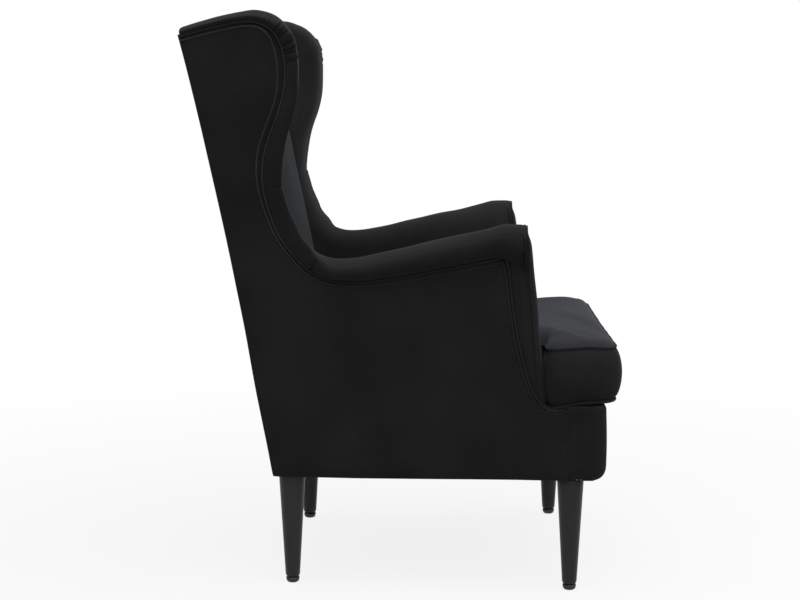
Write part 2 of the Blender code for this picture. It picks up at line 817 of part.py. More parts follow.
def back_pad_lines():
    """The section of the inside back: its face, up and over its rounded top, and what lies behind."""
    top_front_z = wing_seam_peak_height + wing_roll_top_rise - back_top_drop
    rear_top_z = back_corner_height + wing_roll_top_rise - back_top_drop
    rear_y = back_y(back_corner_height)
    low_y = back_face_y(base_top_height)
    over_z = back_corner_height - top_rail_drop + soft_gap
    over_y = back_y(over_z) - skin - soft_gap
    low_z, high_z = deck_z(low_y) + soft_gap, top_front_z - back_top_radius
    levels = np.concatenate((
        np.linspace(low_z, wing_flare_start_height, straight_rows)[:-1],
        np.linspace(wing_flare_start_height, high_z, flared_rows),
    ))
    face = [(back_face_y(z), z) for z in levels]
    round_y = back_face_y(high_z) + back_top_radius
    for degrees in (30, 60, 90):
        turn = math.radians(degrees)
        face.append((round_y - back_top_radius * math.cos(turn), high_z + back_top_radius * math.sin(turn)))
    middle_y, middle_z = mix(np.array((round_y, top_front_z)), np.array((rear_y, rear_top_z)), 0.5)
    face += [(middle_y, middle_z), (rear_y - skin, rear_top_z), (rear_y, back_corner_height)]
    behind = [(strap_y(z), z) for z in levels if z < over_z]
    over = np.linspace(strap_y(over_z), over_y, len(face) - len(behind) - 1)
    behind += [(y, over_z) for y in over]
    behind.append((rear_y - skin - soft_gap, back_corner_height))
    return np.array(face), np.array(behind)


def make_inside_back():
    """The inside back pad, crowned forward between the wings."""
    over_seat = deck_z(back_face_y(base_top_height)) + cushion_height
    shares = np.linspace(-1, 1, seat_columns)[None, :]
    grids = []
    for line, crowned in zip(back_pad_lines(), (True, False)):
        y, z = line[:, :1], line[:, 1:]
        wide = half_width(y, z) - side_thickness - soft_gap
        crown_share = np.clip((z - over_seat) / (back_face_height - over_seat), 0, 1)
        fade_share = np.clip((wing_seam_peak_height - z) / (wing_seam_peak_height - back_corner_height), 0, 1)
        in_front = y < strap_y(back_corner_height) - back_top_radius
        crown = back_crown * crown_share * fade_share * crowned * in_front
        forward = crown * (1 - abs(shares) ** back_crown_power)
        grids.append(np.stack((wide * shares, y - forward, z + 0 * shares), axis=-1))
    plate("inside_back_pad", grids[0], grids[1], velvet())


# The apron's rounded top and bottom edges, as shares of their radius: along Z, and drawn in
apron_edge_shares = ((0.0, 1.0), (0.3, 0.3), (1.0, 0.0))


def make_apron():
    """The padded front of the base, with rounded corners that return to the side panels."""
    seam_y = apron_face_y + base_seam_setback - soft_gap
    inner_y = apron_face_y + apron_thickness
    rail_x = half_width(inner_y, leg_height)
    top = base_top_height - gap
    radius = apron_edge_radius
    rows = [(leg_height + radius * up, radius * inward) for up, inward in apron_edge_shares]
    rows += [(top - radius * down, radius * inward) for down, inward in apron_edge_shares[::-1]]
    rings = []
    for z, drawn_in in rows:
        face = apron_face_y + drawn_in
        corner = apron_corner_radius
        wide = half_width(face + corner, z) - drawn_in / 2
        outline = [(-(half_width(seam_y, z)), seam_y), (-wide, face + corner)]
        for angle in (30, 60, 90):
            turn = math.radians(angle)
            outline.append((-(wide - corner * (1 - math.cos(turn))), face + corner * (1 - math.sin(turn))))
        outline += [(-x, y) for x, y in outline[::-1]]
        inner_wide = rail_x - skin
        outline += [
            (half_width(seam_y, z) - skin, seam_y), (inner_wide, inner_y), (-inner_wide, inner_y),
            (-(half_width(seam_y, z) - skin), seam_y),
        ]
        rings.append([(x, y, z) for x, y in outline])
    loft("front_apron", rings, velvet())


def make_deck():
    """The cloth deck on the springs, under the cushion, the arms and the back."""
    start = apron_face_y + apron_thickness + gap
    y = np.linspace(start, start + deck_length, deck_rows)
    shares = np.linspace(-1, 1, seat_columns)
    x = (half_width(y, leg_height) - skin - gap * 2 - board)[:, None] * shares[None, :]
    y_field = y[:, None] + 0 * shares[None, :]
    top = np.stack((x, y_field, deck_z(y_field)), axis=-1)
    bottom = top - (0, 0, deck_thickness)
    plate("seat_deck", top, bottom, cloth())


def make_dust_cover():
    """The thin cloth under the base, with holes for the legs' studs."""
    start = apron_face_y + apron_thickness
    end = back_y(leg_height) - skin - gap
    y = np.array([start, end])
    x = half_width(y, leg_height) - skin - gap
    low = leg_height
    rings = []
    for z in (low, low + dust_cover_thickness):
        rings.append([(-x[0], start, z), (x[0], start, z), (x[1], end, z), (-x[1], end, z)])
    cover = loft("dust_cover", rings, cloth(), smooth=False)
    for place, bolt_x, bolt_y in leg_places():
        cut_hole(cover, f"dust_cover_hole_{place}", bolt_x, bolt_y, low - cut_overrun, low + cut_overrun,
                 bolt_radius + bolt_clearance)


# The double welt's section: across it as a share of its width, and out as a share of its height
welt_shares = (
    (-0.5, 0.0), (-0.5, 0.55), (-0.25, 1.0), (0.0, 0.6), (0.25, 1.0), (0.5, 0.55), (0.5, 0.0),
)


def make_double_welts():
    """Two cords side by side in one sleeve, on each outside panel beside its seam."""
    line = seam_line[welt_free_row_count:]
    normals = line_normals(line)
    line = line - normals * welt_inset
    for side in (right, left):
        rings = []
        for (y, z), (ny, nz) in zip(line, normals):
            ring = []
            for across, up in welt_shares:
                py, pz = y + ny * across * welt_width, z + nz * across * welt_width
                ring.append((side * (half_width(py, pz) + soft_gap + up * welt_height), py, pz))
            rings.append(ring)
        loft(f"double_welt_{side_letters[side]}", rings, velvet())


def round_corner(before, corner, after, radius, steps):
    """Points of a fillet with its ends on the two edges that meet at a corner."""
    corner, before, after = (np.array(p, dtype=float) for p in (corner, before, after))
    start = corner + (before - corner) / np.linalg.norm(before - corner) * radius
    end = corner + (after - corner) / np.linalg.norm(after - corner) * radius
    share = np.linspace(0, 1, steps)[:, None]
    return start * (1 - share) ** 2 + corner * 2 * share * (1 - share) + end * share**2


def cushion_outline(grow):
    """The T-shaped outline of the cushion's seams in X and Y, grown outwards by grow."""
    front = apron_face_y - cushion_front_reach - grow
    ear_rear = apron_face_y + cushion_ear_setback + grow
    rear = apron_face_y + cushion_rear_setback + grow
    inner = side_thickness + seat_side_clearance - grow
    ear = cushion_ear_width + grow

    def arm_side(y):
        return half_width(y, base_top_height) - inner

    radius, small = cushion_corner_radius, cushion_corner_radius / 2
    pull_y = mix(ear_rear, rear, 0.5)
    half = [
        round_corner((0, front), (ear, front), (ear, ear_rear), radius, 4),
        round_corner((ear, front), (ear, ear_rear), (arm_side(ear_rear), ear_rear), small, 3),
        round_corner((ear, ear_rear), (arm_side(ear_rear), ear_rear), (arm_side(rear), rear), small / 2, 3),
        [(arm_side(pull_y) - cushion_pull_in, pull_y)],
        round_corner((arm_side(ear_rear), ear_rear), (arm_side(rear), rear), (0, rear), radius, 4),
        [(arm_side(rear) * 0.5, rear - cushion_pull_in / 2)],
    ]
    half = np.concatenate(half)
    middle_front = np.array([(0, front + cushion_pull_in / 2), (ear * 0.5, front + cushion_pull_in / 3)])
    middle_rear = np.array([(0, rear - cushion_pull_in / 2)])
    right_half = np.concatenate((middle_front[1:], half))
    left_half = right_half[::-1] * (-1, 1)
    return np.concatenate((middle_front[:1], right_half, middle_rear, left_half))


# Rows of the cushion's surface from the middle of its top to the middle of its bottom: the share
# of the outline, the bulge past it, and the height as shares of the crown, the border and the belly.
cushion_top_shares = ((0.28, 0.98), (0.58, 0.84), (0.80, 0.56), (0.93, 0.26))
cushion_border_shares = ((0.0, 0.085), (0.75, 0.30), (1.0, 0.52), (0.75, 0.74), (0.0, 0.915))
cushion_bottom_shares = ((0.95, 0.7), (0.75, 1.0), (0.4, 1.0))
# How much of the border's bulge is left where the arms and the back press on it
pressed_border_share = 0.15


def cushion_rows(inset, raised):
    """The rows of the cushion's surface, drawn in by inset and raised off the deck, and its two middles."""
    centre_y = apron_face_y + cushion_crown_setback
    seam = cushion_outline(-cushion_welt_radius - gap * 2 - inset)
    welt_line = cushion_outline(-inset)
    bulged = cushion_outline(cushion_side_bulge - inset)
    between_arms = seam[:, 1] > apron_face_y + cushion_ear_setback - cushion_corner_radius / 2
    bulged[between_arms] = mix(welt_line, bulged, pressed_border_share)[between_arms]

    def floor(y):
        return deck_z(y) + gap + raised

    low, height = cushion_belly, cushion_height - raised - inset
    rows = []
    for reach, up in cushion_top_shares:
        flat = (seam - (0, centre_y)) * reach + (0, centre_y)
        z = floor(flat[:, 1]) + low + height + cushion_crown * up
        rows.append(np.column_stack((flat, z)))
    rows.append(np.column_stack((seam, floor(seam[:, 1]) + low + height)))
    for out, down in cushion_border_shares:
        flat = mix(welt_line, bulged, out)
        z = floor(flat[:, 1]) + low + height * (1 - down)
        rows.append(np.column_stack((flat, z)))
    rows.append(np.column_stack((seam, floor(seam[:, 1]) + low)))
    for reach, down in cushion_bottom_shares:
        flat = (seam - (0, centre_y)) * reach + (0, centre_y)
        rows.append(np.column_stack((flat, floor(flat[:, 1]) + low * (1 - down))))
    middle_z = floor(centre_y) + low + height + cushion_crown
    return np.array(rows), (0, centre_y, middle_z), (0, centre_y, floor(centre_y))


def cushion_faces(rows, around, open_columns=()):
    """Quads between the rows and fans at both middles, with the zip's mouth left open."""
    faces = []
    mouth_rows = range(len(cushion_top_shares) + 2, len(cushion_top_shares) + 4)
    for r in range(rows - 1):
        for j in range(around):
            if r in mouth_rows and j in open_columns:
                continue
            beside = (j + 1) % around
            at, under = r * around, (r + 1) * around
            faces.append((at + j, under + j, under + beside, at + beside))
    top, bottom = rows * around, rows * around + 1
    last = (rows - 1) * around
    for j in range(around):
        beside = (j + 1) % around
        faces.append((top, j, beside))
        faces.append((bottom, last + beside, last + j))
    return faces


def make_cushion():
    """The loose seat cushion: its foam core, its sewn cover and the welts in both seams."""
    pieces = (
        ("cushion_cover", 0, 0, velvet()),
        ("cushion_core", core_inset, cover_thickness + gap, foam()),
    )
    for name, inset, raised, finish in pieces:
        rows, top, bottom = cushion_rows(inset, raised)
        around = rows.shape[1]
        mouth = ()
        if name == "cushion_cover":
            outline = cushion_outline(0)
            middle = (outline + np.roll(outline, -1, axis=0)) / 2
            at_rear = middle[:, 1] > apron_face_y + cushion_rear_setback - cushion_corner_radius / 2
            mouth = set(np.flatnonzero(at_rear & (abs(middle[:, 0]) < zip_length / 2)).tolist())
        points = np.concatenate((rows.reshape(-1, 3), [top, bottom]))
        made = add_mesh(name, points, cushion_faces(len(rows), around, mouth), finish, smooth=True)
        if mouth:
            wall = made.modifiers.new("wall", "SOLIDIFY")
            wall.thickness = cover_thickness
            wall.offset = -1
            wall.use_even_offset = False
    line = cushion_outline(0)
    rise = cushion_belly + gap
    for name, up in (("cushion_welt_bottom", 0), ("cushion_welt_top", cushion_height)):
        make_ring_cord(name, line, deck_z(line[:, 1]) + rise + up, cushion_welt_radius)


def make_ring_cord(name, line, z, radius):
    """A closed cord that lies along a flat outline."""
    along = np.roll(line, -1, axis=0) - np.roll(line, 1, axis=0)
    along /= np.linalg.norm(along, axis=1, keepdims=True)
    out = np.stack((along[:, 1], -along[:, 0]), axis=1)
    turns = np.linspace(0, 2 * math.pi, 7)[:-1]
    rings = []
    for (x, y), (ox, oy), level in zip(line, out, z):
        rings.append([
            (x + ox * radius * math.cos(t), y + oy * radius * math.cos(t), level + radius * math.sin(t))
            for t in turns
        ])
    return loft(name, rings, velvet(), closed=True)


def build_chair():
    for old in list(bpy.data.objects):
        bpy.data.objects.remove(old)
    new_collection(collection_name)
    new_collection("cutters")
    make_legs()
    make_rails()
    make_springs()
    make_back_frame()
    make_wings()
    make_arms()
    make_outside()
    make_inside_back()
    make_apron()
    make_deck()
    make_dust_cover()
    make_double_welts()
    make_cushion()


build_chair()
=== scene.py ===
# Black velvet wing armchair: the looks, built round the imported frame
from math import cos, pi, radians, sin

import bpy
import numpy as np
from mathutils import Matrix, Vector


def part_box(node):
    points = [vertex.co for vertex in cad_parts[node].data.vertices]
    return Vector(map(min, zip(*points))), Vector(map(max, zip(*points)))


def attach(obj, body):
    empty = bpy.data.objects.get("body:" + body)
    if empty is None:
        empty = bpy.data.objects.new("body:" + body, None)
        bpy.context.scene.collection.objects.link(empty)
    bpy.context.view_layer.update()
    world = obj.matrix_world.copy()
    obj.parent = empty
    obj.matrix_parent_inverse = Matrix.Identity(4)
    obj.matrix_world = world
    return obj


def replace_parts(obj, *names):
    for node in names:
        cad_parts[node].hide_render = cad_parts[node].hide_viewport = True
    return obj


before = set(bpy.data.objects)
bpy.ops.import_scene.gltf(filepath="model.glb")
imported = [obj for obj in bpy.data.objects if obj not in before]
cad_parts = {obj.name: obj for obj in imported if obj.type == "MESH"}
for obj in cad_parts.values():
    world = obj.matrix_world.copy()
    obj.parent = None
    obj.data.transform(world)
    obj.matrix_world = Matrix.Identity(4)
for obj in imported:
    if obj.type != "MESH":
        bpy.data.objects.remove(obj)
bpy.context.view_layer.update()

print("stage: frame loaded with", len(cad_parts), "nodes")

# Sizes of the whole chair in metres: front towards -Y, the camera's side at -X
chair = {
    "apronY": -0.3852, "depth": 0.629, "rearHalf": 0.297, "frontHalf": 0.3515, "legHeight": 0.2168,
    "baseTop": 0.352, "cornerHeight": 1.0377, "rearTop": 1.05, "lowBulge": 0.0032, "lowDrop": 0.0036,
    "lean": 0.161, "flare": 0.0064, "flareHeight": 0.19, "wingFlare": (0.045, 0.027), "wingFlareStart": 0.62,
    "wingFlareRise": 0.35, "wingFlareDepth": 0.2, "sideDepth": 0.062, "armBulge": 0.019, "wingBulge": 0.018,
    "topBulge": 0.011, "rearCorner": 0.013,
}
rearY = chair["apronY"] + chair["depth"]
legHeight, sideDepth, apronY = chair["legHeight"], chair["sideDepth"], chair["apronY"]
join, norm = np.concatenate, np.linalg.norm


def mix(start, end, share):
    return start + (end - start) * share


def smooth(share):
    # 3t^2 - 2t^3, flat at both ends
    share = np.clip(share, 0, 1)
    return share * share * (3 - 2 * share)


def domed(share):
    # a quarter of a circle: steep at 0, level at 1
    return np.sqrt(1 - (1 - share) ** 2)


def backY(z):
    # outside of the back: a straight lean with a small flare at the top
    up = (z - legHeight) / (chair["cornerHeight"] - legHeight)
    over = np.clip((z - chair["cornerHeight"] + chair["flareHeight"]) / chair["flareHeight"], 0, None)
    return rearY + chair["lean"] * up + chair["flare"] * over**2


def halfWidth(y, z):
    # straight sides in plan, eased outwards at the wings
    toe = (rearY - y) / chair["depth"]
    flat = mix(chair["rearHalf"], chair["frontHalf"], toe)
    ease = smooth((z - chair["wingFlareStart"]) / chair["wingFlareRise"])
    forward = np.clip((backY(z) - y) / chair["wingFlareDepth"], 0, 1)
    return flat + ease * (chair["wingFlare"][0] + chair["wingFlare"][1] * forward)


def coverBackY(z):
    # the stuffed back stands a little fuller low down
    return backY(z) + chair["lowBulge"] * smooth((0.52 - z) / 0.16)


def cornerTurn(y, z):
    # how far the covers draw in towards the rear corner: a quarter of a circle
    over = np.clip((y - coverBackY(z)) / chair["rearCorner"] + 0.5, 0, 1)
    return chair["rearCorner"] * (1 - np.sqrt(1 - over**2))


def lowDrop(y):
    # how far the covers hang below the rails towards the rear
    return chair["lowDrop"] * np.clip((y + 0.22) / 0.3, 0, 1)


def deckZ(y):
    return 0.358 - 0.0379 * (y - apronY) / 0.505


def backFaceY(z):
    return apronY + 0.628 + 0.2132 * (z - 0.855)


def facingY(z):
    # plane behind the arm's facing: leans forward below the roll and back over its top
    low = 0.0245 * np.clip((0.633 - z) / 0.281, 0, 1)
    high = 0.0065 * np.clip((z - 0.655) / 0.043, 0, 1) ** 2
    return apronY + 0.1505 - low + high


def pointsOf(*parts):
    # coordinates side by side, stretched to one shape
    return np.stack(np.broadcast_arrays(*parts), axis=-1)


def unit(vectors):
    return vectors / norm(vectors, axis=-1, keepdims=True)


def across(line):
    # unit direction square to a flat line at each point
    along = np.gradient(line, axis=0)
    return unit(pointsOf(-along[:, 1], along[:, 0]))


def lengthsAlong(rows, spread=2):
    steps = norm(np.diff(rows[:, :spread], axis=0), axis=1)
    return join(([0], np.cumsum(steps)))


def smoothCurve(rows, stations, spread=2):
    # cubic through the rows, measured along their first columns; stations is a count or the distances
    rows = np.array(rows)
    along = lengthsAlong(rows, spread)
    tangent = np.gradient(rows, along, axis=0)
    at = np.linspace(0, along[-1], stations) if np.isscalar(stations) else stations
    cell = np.clip(np.searchsorted(along, at, side="right") - 1, 0, len(rows) - 2)
    span = (along[cell + 1] - along[cell])[:, None]
    t = (at - along[cell])[:, None] / span
    a, b = rows[cell], rows[cell + 1]
    ta, tb = tangent[cell] * span, tangent[cell + 1] * span
    return a * (1 + 2 * t) * (1 - t) ** 2 + ta * t * (1 - t) ** 2 + b * t * t * (3 - 2 * t) - tb * t * t * (1 - t)


def curveLength(rows):
    return norm(np.diff(rows[:, :2], axis=0), axis=1).sum()


def distanceTo(rows, point):
    # distance along the rows of the place nearest to a point in Y and Z
    at = np.linspace(0, curveLength(rows), 4000)
    line = smoothCurve(rows, at)[:, :2]
    return at[np.argmin(norm(line - point, axis=1))]


def tableAt(at, rows, table):
    # a table of Y, Z and value, in tenths of a millimetre, read at distances along the rows
    table = np.array(table) / 1e4
    return np.interp(at, [distanceTo(rows, row[:2]) for row in table], table[:, 2])


def uneven(total, coarse, spots):
    # distances along a line, coarse steps with finer ones round the spots (start, end, step)
    fine = np.linspace(0, total, 6000)
    step = np.full(len(fine), coarse)
    for start, end, size in spots:
        inside = smooth((fine - start + 0.02) / 0.02) * smooth((end + 0.02 - fine) / 0.02)
        step = np.minimum(step, mix(coarse, size, inside))
    count = join(([0], np.cumsum((1 / step[1:] + 1 / step[:-1]) / 2 * np.diff(fine))))
    return np.interp(np.linspace(0, count[-1], int(count[-1]) + 2), count, fine)


def ripple(points, scale, seed):
    # soft even noise from a few crossing sine waves, about -1 to 1
    rng = np.random.default_rng(seed)
    total = np.zeros(points.shape[:-1])
    for wave in range(7):
        direction = rng.normal(size=3)
        direction /= norm(direction)
        size = scale * rng.uniform(0.6, 1.7)
        total += np.sin(points @ direction * 2 * pi / size + rng.uniform(0, 6.28))
    return total / 3.2


def gridNormals(grid):
    normals = np.cross(np.gradient(grid, axis=0), np.gradient(grid, axis=1))
    return normals / (norm(normals, axis=-1, keepdims=True) + 1e-12)


def addToScene(name, data):
    made = bpy.data.objects.new(name, data)
    bpy.context.scene.collection.objects.link(made)
    return made


def addObject(name, points, faces, material, body):
    mesh = bpy.data.meshes.new(name)
    mesh.from_pydata(points.tolist(), [], faces)
    mesh.polygons.foreach_set("use_smooth", np.ones(len(mesh.polygons), dtype=bool))
    mesh.materials.append(material)
    mesh.update()
    made = addToScene(name, mesh)
    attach(made, body)
    return made


def gridFaces(rows, columns, ring=False, loop=False):
    # quads between neighbours; ring closes the columns, loop closes the rows
    index = np.arange(rows * columns).reshape(rows, columns)
    if ring:
        index = join((index, index[:, :1]), axis=1)
    if loop:
        index = join((index, index[:1]))
    return pointsOf(index[:-1, :-1], index[:-1, 1:], index[1:, 1:], index[1:, :-1]).reshape(-1, 4)


def gridPiece(name, grid, material, outward=None, ring=False, loop=False, caps=False, body="chair", slot="velvet"):
    # a surface from a grid of points; with outward None it is closed and its volume gives the outside
    rows, columns = grid.shape[:2]
    points = grid.reshape(-1, 3)
    quads = gridFaces(rows, columns, ring, loop)
    faces = quads.tolist()
    if caps:
        first, last = len(points), len(points) + 1
        points = join((points, (grid[0].mean(axis=0), grid[-1].mean(axis=0))))
        beside = np.roll(np.arange(columns), -1).tolist()
        base = (rows - 1) * columns
        faces += [[first, b, a] for a, b in enumerate(beside)]
        faces += [[last, base + a, base + b] for a, b in enumerate(beside)]
    a, b, c, d = (points[quads[:, k]] for k in range(4))
    away = (a + b + c + d) / 4 if outward is None else outward
    if np.sum(np.cross(c - a, d - b) * away) < 0:
        faces = [face[::-1] for face in faces]
    return addObject(name, points, faces, material, body)


def softPiece(name, grid, material, fill, nodes, outward=None, **how):
    # a padded cover that takes the place of solids
    made = gridPiece(name, grid, material, outward, **how)
    if nodes:
        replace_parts(made, *nodes)


def tubePiece(name, path, radius, out, sides, material, node=None, closed=False, body="chair"):
    # circles of a radius along a path, with out as the first direction of each circle
    along = unit(np.roll(path, -1, axis=0) - np.roll(path, 1, axis=0) if closed else np.gradient(path, axis=0))
    out = np.broadcast_to(out, path.shape)
    out = unit(out - np.sum(out * along, axis=1, keepdims=True) * along)
    turn = np.linspace(0, 2 * pi, sides, endpoint=False)[:, None]
    grid = path[:, None] + radius * (np.cos(turn) * out[:, None] + np.sin(turn) * np.cross(along, out)[:, None])
    made = gridPiece(name, grid, material, ring=True, loop=closed, caps=not closed, body=body)
    if node:
        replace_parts(made, node)


# Materials

def setInputs(tree, node, *values, **named):
    # a node's first inputs in order and others by name; a socket given as a value is linked.
    # A range map's first five are its value, the range it has and the range it gets.
    targets = [(node.inputs[key.replace("_", " ")], value) for key, value in named.items()]
    for target, value in [*zip(node.inputs, values), *targets]:
        if isinstance(value, bpy.types.NodeSocket):
            tree.links.new(value, target)
        else:
            target.default_value = value


def addNode(tree, kind, *values, operation=None, out=0, **named):
    # a new node with its inputs set; gives back one of its outputs
    node = tree.nodes.new("ShaderNode" + kind)
    if operation:
        node.operation = operation
    setInputs(tree, node, *values, **named)
    return node.outputs[out]


def newMaterial(name):
    material = bpy.data.materials.new(name)
    material.use_nodes = True
    tree = material.node_tree
    return material, tree, tree.nodes["Principled BSDF"], addNode(tree, "TexCoord", out="Object")


def noiseAt(tree, place, scale, detail, roughness, stretch=(1, 1, 1)):
    # even noise on object coordinates, 0 to 1
    mapped = addNode(tree, "Mapping", Vector=place, Scale=stretch)
    return addNode(tree, "TexNoise", Vector=mapped, Scale=scale, Detail=detail, Roughness=roughness)


def rampOf(tree, value, dark, light):
    # blends two colours, each given with its place on the ramp
    colour = addNode(tree, "ValToRGB", Fac=value)
    for element, (position, tone) in zip(colour.node.color_ramp.elements, (dark, light)):
        element.position, element.color = position, (*tone, 1)
    return colour


velvetLook = {
    "dark": (0.0068, 0.0068, 0.007), "light": (0.0098, 0.0098, 0.0103), "sheenTint": (0.88, 0.93, 1, 1),
    "sheenRoughness": 0.5, "pile": 0.12,
}


def velvetMaterial(name, lift, sheen, lowHighlightShare=1):
    # short pile: mottled dark colour, soft sheen at grazing angles, fine nap and rubbed patches
    material, tree, shader, place = newMaterial(name)
    patches = noiseAt(tree, place, 7, 3, 0.55)
    dark, light = (tuple(c * k for c, k in zip(velvetLook[tone], lift)) for tone in ("dark", "light"))
    colour = rampOf(tree, patches, (0.36, dark), (0.66, light))
    if lowHighlightShare < 1:
        # painted highlight, stronger up on the wing than along the arm
        height = addNode(tree, "SeparateXYZ", place, out="Z")
        share = addNode(tree, "MapRange", height, 0.6, 0.74, lowHighlightShare, 1)
        colour = addNode(tree, "VectorMath", operation="SCALE", Vector=colour, Scale=share)
    shader.inputs["Base Color"].default_value = (*velvetLook["dark"], 1)
    nap = noiseAt(tree, place, 900, 2, 0.6, (1, 1, 0.45))
    brushed = noiseAt(tree, place, 38, 3, 0.6)
    height = addNode(tree, "Math", brushed, 1.6, nap, operation="MULTIPLY_ADD")
    setInputs(tree, shader, Base_Color=colour, Specular_IOR_Level=0.06, Sheen_Weight=sheen,
              Sheen_Roughness=velvetLook["sheenRoughness"], Sheen_Tint=velvetLook["sheenTint"],
              Roughness=addNode(tree, "MapRange", patches, 0, 1, 0.8, 0.92),
              Normal=addNode(tree, "Bump", Strength=velvetLook["pile"], Distance=0.0012, Height=height))
    return material


def plainMaterial(name, dark, light, roughness, scale, bump, metallic=0, stretch=(1, 1, 1), specular=0.5, grain=60):
    # two tones of one finish, with a matching fine relief
    material, tree, shader, place = newMaterial(name)
    tone = noiseAt(tree, place, scale, 4, 0.55, stretch)
    relief = noiseAt(tree, place, grain, 3, 0.6, stretch)
    setInputs(tree, shader, Base_Color=rampOf(tree, tone, (0.35, dark), (0.68, light)),
              Roughness=addNode(tree, "MapRange", tone, 0, 1, roughness - 0.05, roughness + 0.06),
              Metallic=metallic, Specular_IOR_Level=specular,
              Normal=addNode(tree, "Bump", Strength=bump, Distance=0.001, Height=relief))
    return material


def wovenMaterial(name, dark, light, pitch, roughness):
    # plain weave: crossing threads as two waves of a pitch, with uneven yarn
    material, tree, shader, place = newMaterial(name)
    threads = []
    for turn in (0, pi / 2):
        mapped = addNode(tree, "Mapping", Vector=place, Rotation=(0, 0, turn))
        threads.append(addNode(tree, "TexWave", Vector=mapped, Scale=1 / pitch / 6.283, Distortion=0.6, out="Fac"))
    crossed = addNode(tree, "Math", *threads, operation="MAXIMUM")
    tone = addNode(tree, "Math", crossed, noiseAt(tree, place, 120, 2, 0.5), operation="MULTIPLY")
    setInputs(tree, shader, Base_Color=rampOf(tree, tone, (0.1, dark), (0.7, light)), Roughness=roughness,
              Normal=addNode(tree, "Bump", Strength=0.4, Distance=0.0006, Height=crossed))
    return material


velvet = velvetMaterial("blackVelvet", (1.14, 1.14, 1.13), 0.032)
# painted shade: a darker copy of the velvet for the inside back, to tone down the light it catches, with a painted
# bluish tint for its sheen
shadedInsideVelvet = velvetMaterial("shadedInsideVelvet", (0.64, 0.67, 0.78), 0.022)
# painted light: a lighter, bluish copy of the velvet for the cushion's top, standing in for light from above and sheen
# at grazing angles
litSeatVelvet = velvetMaterial("litSeatVelvet", (2, 2.06, 2.27), 0.055)
# painted highlight: a much lighter copy of the velvet on the double welts, for the light their cords catch
weltHighlightVelvet = velvetMaterial("weltHighlightVelvet", (2.9, 2.9, 2.9), 0.03, 0.55)
# painted highlight: a lighter copy of the velvet on the cushion's piping, for the light its cords catch
pipingHighlightVelvet = velvetMaterial("pipingHighlightVelvet", (1.4, 1.4, 1.45), 0.03)
lacquer = plainMaterial("satinLacquer", (0.0106, 0.0106, 0.0109), (0.0161, 0.0161, 0.0166), 0.38, 9, 0.05,
                        stretch=(1, 1, 0.12), specular=0.2, grain=160)
nylon = plainMaterial("glideNylon", (0.006, 0.006, 0.006), (0.011, 0.011, 0.012), 0.5, 60, 0.1, grain=400)
beech = ((0.33, 0.2, 0.1), (0.6, 0.42, 0.25), 0.66, 12, 0.25)
wood = plainMaterial("beechFrame", *beech, stretch=(1, 0.15, 1), grain=90)
uprightWood = plainMaterial("beechUpright", *beech, stretch=(1, 1, 0.15), grain=90)
steel = plainMaterial("springSteel", (0.3, 0.3, 0.31), (0.52, 0.52, 0.53), 0.38, 40, 0.12, metallic=1)
foam = plainMaterial("seatFoam", (0.62, 0.56, 0.38), (0.8, 0.75, 0.56), 0.95, 30, 0.5, grain=500)
lining = wovenMaterial("liningCloth", (0.01, 0.01, 0.011), (0.045, 0.045, 0.047), 0.0011, 0.95)
jute = wovenMaterial("juteWebbing", (0.2, 0.13, 0.07), (0.52, 0.4, 0.25), 0.0026, 0.9)
print("stage: materials made")

# The side's outline in tenths of a millimetre: Y, Z and the height of the rear edge opposite. The side's
# rows add the roll's rise and the way it leans from upright, in degrees.
baseRows = np.array([
    (-3127, 2168, 2168), (-3127, 2500, 2395), (-3127, 3000, 2702), (-3127, 3320, 3050), (-3127, 3420, 3150),
    (-3105, 3478, 3200), (-3030, 3505, 3270), (-2935, 3515, 3358), (-2820, 3522, 3410), (-2735, 3545, 3465),
    (-2665, 3595, 3530), (-2600, 3665, 3600), (-2505, 3807, 3700), (-2352, 4184, 3880), (-2257, 4561, 4105),
    (-2180, 4938, 4290), (-2115, 5320, 4450), (-2063, 5689, 4640), (-2035, 5980, 4790), (-2012, 6170, 4890),
    (-1985, 6310, 4950), (-1940, 6390, 4985), (-1860, 6400, 5010),
]) / 1e4
sideRows = np.array([
    (-2344, 6120, 5000, 880, 0), (-2120, 6200, 5000, 800, -3), (-1940, 6370, 5000, 618, -6),
    (-1751, 6371, 5032, 562, -9), (-1450, 6308, 5087, 554, -10), (-848, 6186, 5186, 562, -11),
    (-245, 6064, 5275, 552, -10), (360, 5968, 5379, 515, -7), (969, 5910, 5509, 467, 0),
    (1466, 5970, 5717, 428, 16), (1807, 6168, 6114, 382, 36), (1974, 6342, 6313, 371, 48),
    (2144, 6546, 6547, 357, 54), (2311, 6796, 6808, 396, 63), (2423, 7077, 7049, 387, 70),
    (2513, 7369, 7350, 383, 77), (2568, 7646, 7644, 366, 85), (2576, 7949, 7966, 377, 92),
    (2519, 8348, 8359, 367, 104), (2381, 8730, 8742, 321, 113), (2230, 9112, 9106, 290, 111),
    (2133, 9471, 9431, 268, 100), (2101, 9780, 9685, 241, 91), (2114, 10028, 9866, 247, 83),
    (2173, 10291, 10015, 270, 67), (2288, 10512, 10102, 258, 50), (2498, 10682, 10178, 232, 31),
    (2697, 10744, 10226, 207, 10), (2905, 10745, 10267, 173, -7), (3109, 10718, 10285, 168, -11),
    (3312, 10677, 10310, 170, -14), (3611, 10610, 10345, 157, -14), (3850, 10549, 10400, 152, -14),
    (4049, 10498, 10475, 141, -14), (4128, 10478, 10500, 128, -12),
]) / (1e4, 1e4, 1e4, 1e4, 1)
panelRows = join((baseRows, sideRows[3:, :3]))
creaseAt = distanceTo(sideRows, (0.169, 0.6095))
gatherFrom = distanceTo(sideRows, (0.2101, 0.985))
gatherTo = distanceTo(sideRows, (0.26, 1.071))
crossSeamAt = distanceTo(sideRows, (0.2565, 0.7622))
sideLength = curveLength(sideRows)
right, left = -1, 1


def bothSides(build):
    for side, name in ((right, "R"), (left, "L")):
        build(side, name)


